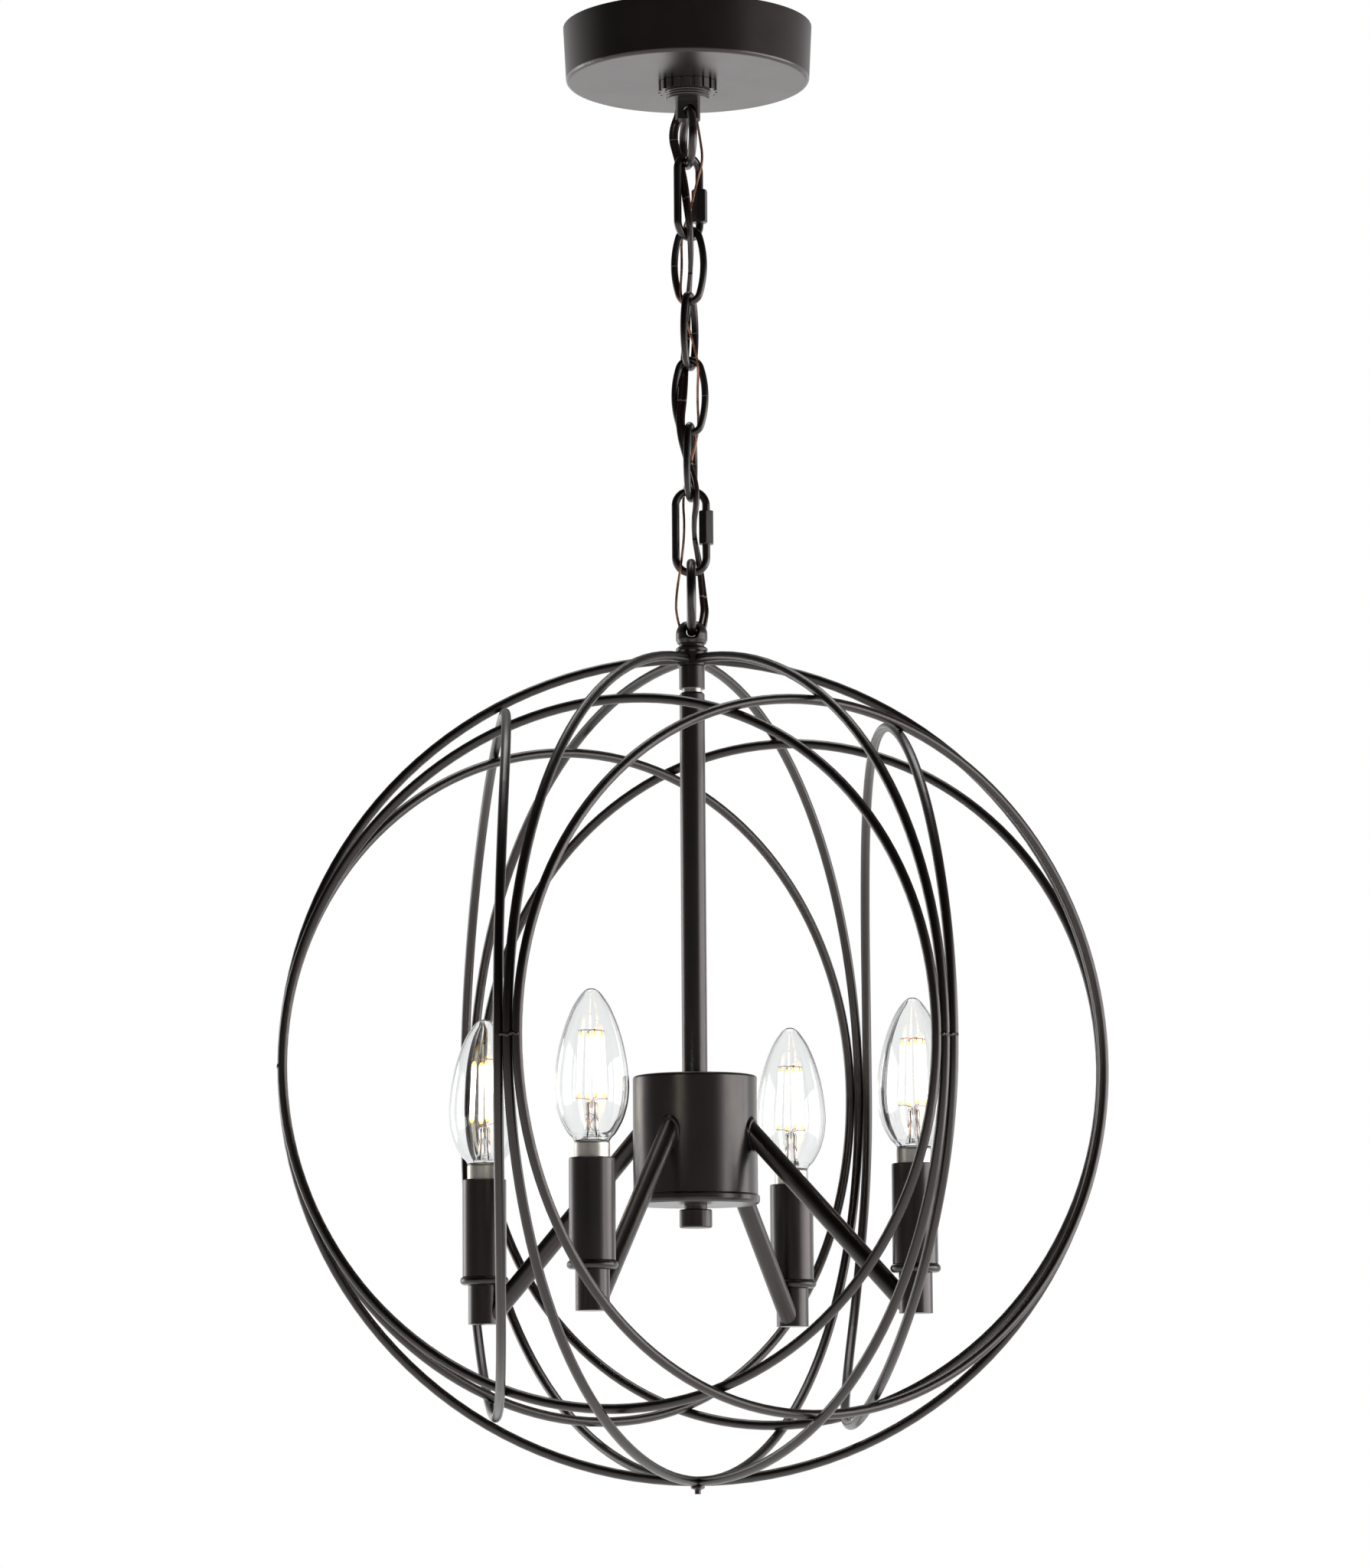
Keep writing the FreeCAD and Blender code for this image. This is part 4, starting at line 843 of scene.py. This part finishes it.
# ---------------------------------------------------------------- weld beads
def make_bead_tree():
    """Lumpy beads on the points of a mesh: one icosphere each, its size and lumps set by inputs."""
    tree = bpy.data.node_groups.new("weld beads", "GeometryNodeTree")
    tree.interface.new_socket("Geometry", in_out="INPUT", socket_type="NodeSocketGeometry")
    size = tree.interface.new_socket("Bead Radius", in_out="INPUT", socket_type="NodeSocketFloat")
    lumps = tree.interface.new_socket("Lump Height", in_out="INPUT", socket_type="NodeSocketFloat")
    finish = tree.interface.new_socket("Finish", in_out="INPUT", socket_type="NodeSocketMaterial")
    tree.interface.new_socket("Geometry", in_out="OUTPUT", socket_type="NodeSocketGeometry")
    entry = add_node(tree, "NodeGroupInput")
    leave = add_node(tree, "NodeGroupOutput")
    ball = add_node(tree, "GeometryNodeMeshIcoSphere")
    ball.inputs["Subdivisions"].default_value = 4
    tree.links.new(entry.outputs["Bead Radius"], ball.inputs["Radius"])
    spread = add_node(tree, "GeometryNodeInstanceOnPoints")
    tree.links.new(entry.outputs["Geometry"], spread.inputs["Points"])
    tree.links.new(ball.outputs["Mesh"], spread.inputs["Instance"])
    real = add_node(tree, "GeometryNodeRealizeInstances")
    tree.links.new(spread.outputs["Instances"], real.inputs["Geometry"])
    place = add_node(tree, "GeometryNodeInputPosition").outputs[0]
    lump = add_node(tree, "ShaderNodeTexNoise")
    lump.inputs["Scale"].default_value = 520.0
    tree.links.new(place, lump.inputs["Vector"])
    centred = math_node(tree, "SUBTRACT", lump.outputs["Fac"], 0.5)
    height = math_node(tree, "MULTIPLY", centred, entry.outputs["Lump Height"])
    push = add_node(tree, "ShaderNodeVectorMath", operation="SCALE")
    tree.links.new(add_node(tree, "GeometryNodeInputNormal").outputs[0], push.inputs[0])
    tree.links.new(height, push.inputs["Scale"])
    shift = add_node(tree, "GeometryNodeSetPosition")
    tree.links.new(real.outputs[0], shift.inputs["Geometry"])
    tree.links.new(push.outputs[0], shift.inputs["Offset"])
    painted = add_node(tree, "GeometryNodeSetMaterial")
    tree.links.new(shift.outputs[0], painted.inputs["Geometry"])
    tree.links.new(entry.outputs["Finish"], painted.inputs["Material"])
    smooth = add_node(tree, "GeometryNodeSetShadeSmooth")
    tree.links.new(painted.outputs[0], smooth.inputs[0])
    tree.links.new(smooth.outputs[0], leave.inputs[0])
    return tree, size.identifier, lumps.identifier, finish.identifier


def make_side_welds():
    """Beads of weld that join the three wires at each side node."""
    tree, size, lumps, finish = make_bead_tree()
    low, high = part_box("great_ring_1")
    middle = Vector((0.0, 0.0, (low.z + high.z) / 2))
    reach = (high - low).z / 2 - BEAD_INSET
    turn = math.atan2(high.y - low.y, high.x - low.x)   # way to the first side node
    points = []
    for i in range(SIDE_NODES):
        angle = turn + 2 * math.pi / SIDE_NODES * i
        outward = Vector((math.cos(angle), math.sin(angle), 0.0))
        sideways = Vector((-outward.y, outward.x, 0.0))
        for step in BEAD_PLACES:
            rise = Vector((0, 0, BEAD_RISE * math.sin(step)))
            points.append(middle + outward * reach + sideways * (step * MM) + rise)
    seed = new_piece("bead_seeds", points, [], cage_bronze, smooth=False)
    modifier = seed.modifiers.new("beads", "NODES")
    modifier.node_group = tree
    modifier[size] = BEAD_R
    modifier[lumps] = BEAD_LUMP
    modifier[finish] = cage_bronze
    graph = bpy.context.evaluated_depsgraph_get()
    mesh = bpy.data.meshes.new_from_object(seed.evaluated_get(graph))
    bpy.data.objects.remove(seed)
    piece = bpy.data.objects.new("side_welds", mesh)
    bpy.context.scene.collection.objects.link(piece)
    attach(piece, "fixture")


# ---------------------------------------------------------------- studio
def make_floor():
    """Pale floor far below the lamp, lit evenly from within."""
    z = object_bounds()[0].z - FLOOR_DROP
    half = FLOOR_SIZE / 2
    material, tree, shader = new_material("pale floor", Base_Color=rgb(0.82, 0.82, 0.81), Roughness=0.8,
                                          Emission_Color=rgb(1.0, 1.0, 1.0))
    path = add_node(tree, "ShaderNodeLightPath")
    seen = math_node(tree, "MAXIMUM", path.outputs["Is Camera Ray"], path.outputs["Is Transmission Ray"])
    reflected = math_node(tree, "MULTIPLY", path.outputs["Is Glossy Ray"], FLOOR_GLOW_REFLECTED)
    strength = math_node(tree, "MAXIMUM", math_node(tree, "MULTIPLY", seen, FLOOR_GLOW), reflected)
    tree.links.new(strength, shader.inputs["Emission Strength"])
    floor = new_piece("floor", [(-half, -half, z), (half, -half, z), (half, half, z), (-half, half, z)],
                      [(0, 1, 2, 3)], material, smooth=False)


def make_world():
    """White to the camera. Metal sees it darken behind the camera and overhead, glass sees it darken
    at steep angles, and the light it sheds on the lamp has a strength of its own."""
    world = bpy.data.worlds.new("studio")
    bpy.context.scene.world = world
    world.use_nodes = True
    tree = world.node_tree
    tree.nodes.clear()
    leave = add_node(tree, "ShaderNodeOutputWorld")
    room = add_node(tree, "ShaderNodeBackground")
    white = add_node(tree, "ShaderNodeBackground")
    room.inputs["Color"].default_value = rgb(0.97, 0.98, 1.0)
    white.inputs["Color"].default_value = rgb(1.0, 1.0, 1.0)
    place = add_node(tree, "ShaderNodeTexCoord").outputs["Generated"]
    parts = add_node(tree, "ShaderNodeSeparateXYZ")
    tree.links.new(place, parts.inputs[0])
    level = ranged(tree, parts.outputs["Y"], *WORLD_TURN, WORLD_FRONT, 1.0)
    overhead = ranged(tree, parts.outputs["Z"], *OVERHEAD_TURN, 1.0, OVERHEAD_SHARE)
    level = math_node(tree, "MULTIPLY", level, overhead)
    strength = ranged(tree, parts.outputs["Y"], *WORLD_TURN, *ROOM_STRENGTH)
    tree.links.new(strength, room.inputs["Strength"])
    path = add_node(tree, "ShaderNodeLightPath")
    squarest = math_node(tree, "MAXIMUM", math_node(tree, "ABSOLUTE", parts.outputs["X"]),
                         math_node(tree, "ABSOLUTE", parts.outputs["Y"]))
    ahead = ranged(tree, squarest, *GLASS_TURN, GLASS_DARK, 1.0)
    through = math_node(tree, "MULTIPLY", path.outputs["Is Transmission Ray"], ahead)
    direct = math_node(tree, "MAXIMUM", path.outputs["Is Camera Ray"], through)
    tree.links.new(math_node(tree, "MAXIMUM", direct, level), white.inputs["Strength"])
    seen = math_node(tree, "ADD", path.outputs["Is Camera Ray"], path.outputs["Is Glossy Ray"])
    seen = math_node(tree, "ADD", seen, path.outputs["Is Transmission Ray"], clamp=True)
    mix = add_node(tree, "ShaderNodeMixShader")
    tree.links.new(seen, mix.inputs[0])
    tree.links.new(room.outputs[0], mix.inputs[1])
    tree.links.new(white.outputs[0], mix.inputs[2])
    tree.links.new(mix.outputs[0], leave.inputs["Surface"])


def make_softbox(name, place, target, size, watts):
    light = bpy.data.lights.new(name, "AREA")
    light.shape = "RECTANGLE"
    light.size = size[0]
    light.size_y = size[1]
    light.energy = watts
    lamp = bpy.data.objects.new(name, light)
    lamp.location = place
    lamp.rotation_euler = (Vector(target) - Vector(place)).to_track_quat("-Z", "Y").to_euler()
    bpy.context.scene.collection.objects.link(lamp)


def make_camera():
    data = bpy.data.cameras.new("camera")
    data.sensor_fit = "VERTICAL"
    data.sensor_height = SENSOR_HEIGHT_MM
    data.lens = CAMERA_FOCAL_PX / IMAGE_HEIGHT_PX * SENSOR_HEIGHT_MM
    data.clip_end = 200.0
    camera = bpy.data.objects.new("camera", data)
    place = Matrix.Translation((CAMERA_X, -CAMERA_DISTANCE, CAMERA_HEIGHT))
    tilt = Matrix.Rotation(math.pi / 2 + CAMERA_TILT, 4, "X")
    camera.matrix_world = place @ tilt @ Matrix.Rotation(CAMERA_ROLL, 4, "Z")
    bpy.context.scene.collection.objects.link(camera)
    bpy.context.scene.camera = camera


# ---------------------------------------------------------------- the object
finish_nodes()
first_low, first_high = filament_ends(1, 0)[:2]
filament_glow = make_filament_glow(first_low.z, first_high.z)
make_lamp_cord()
make_ground_wire()
for lamp_number in LAMPS:
    make_bulb_base(lamp_number)
    make_bulb_mount(lamp_number)
    make_filaments(lamp_number)
    make_filament_wires(lamp_number)
    make_bulb_glass(lamp_number)
make_side_welds()

make_floor()
make_world()
for softbox in SOFTBOXES:
    make_softbox(*softbox)
make_camera()
bpy.context.scene.view_settings.view_transform = "Standard"
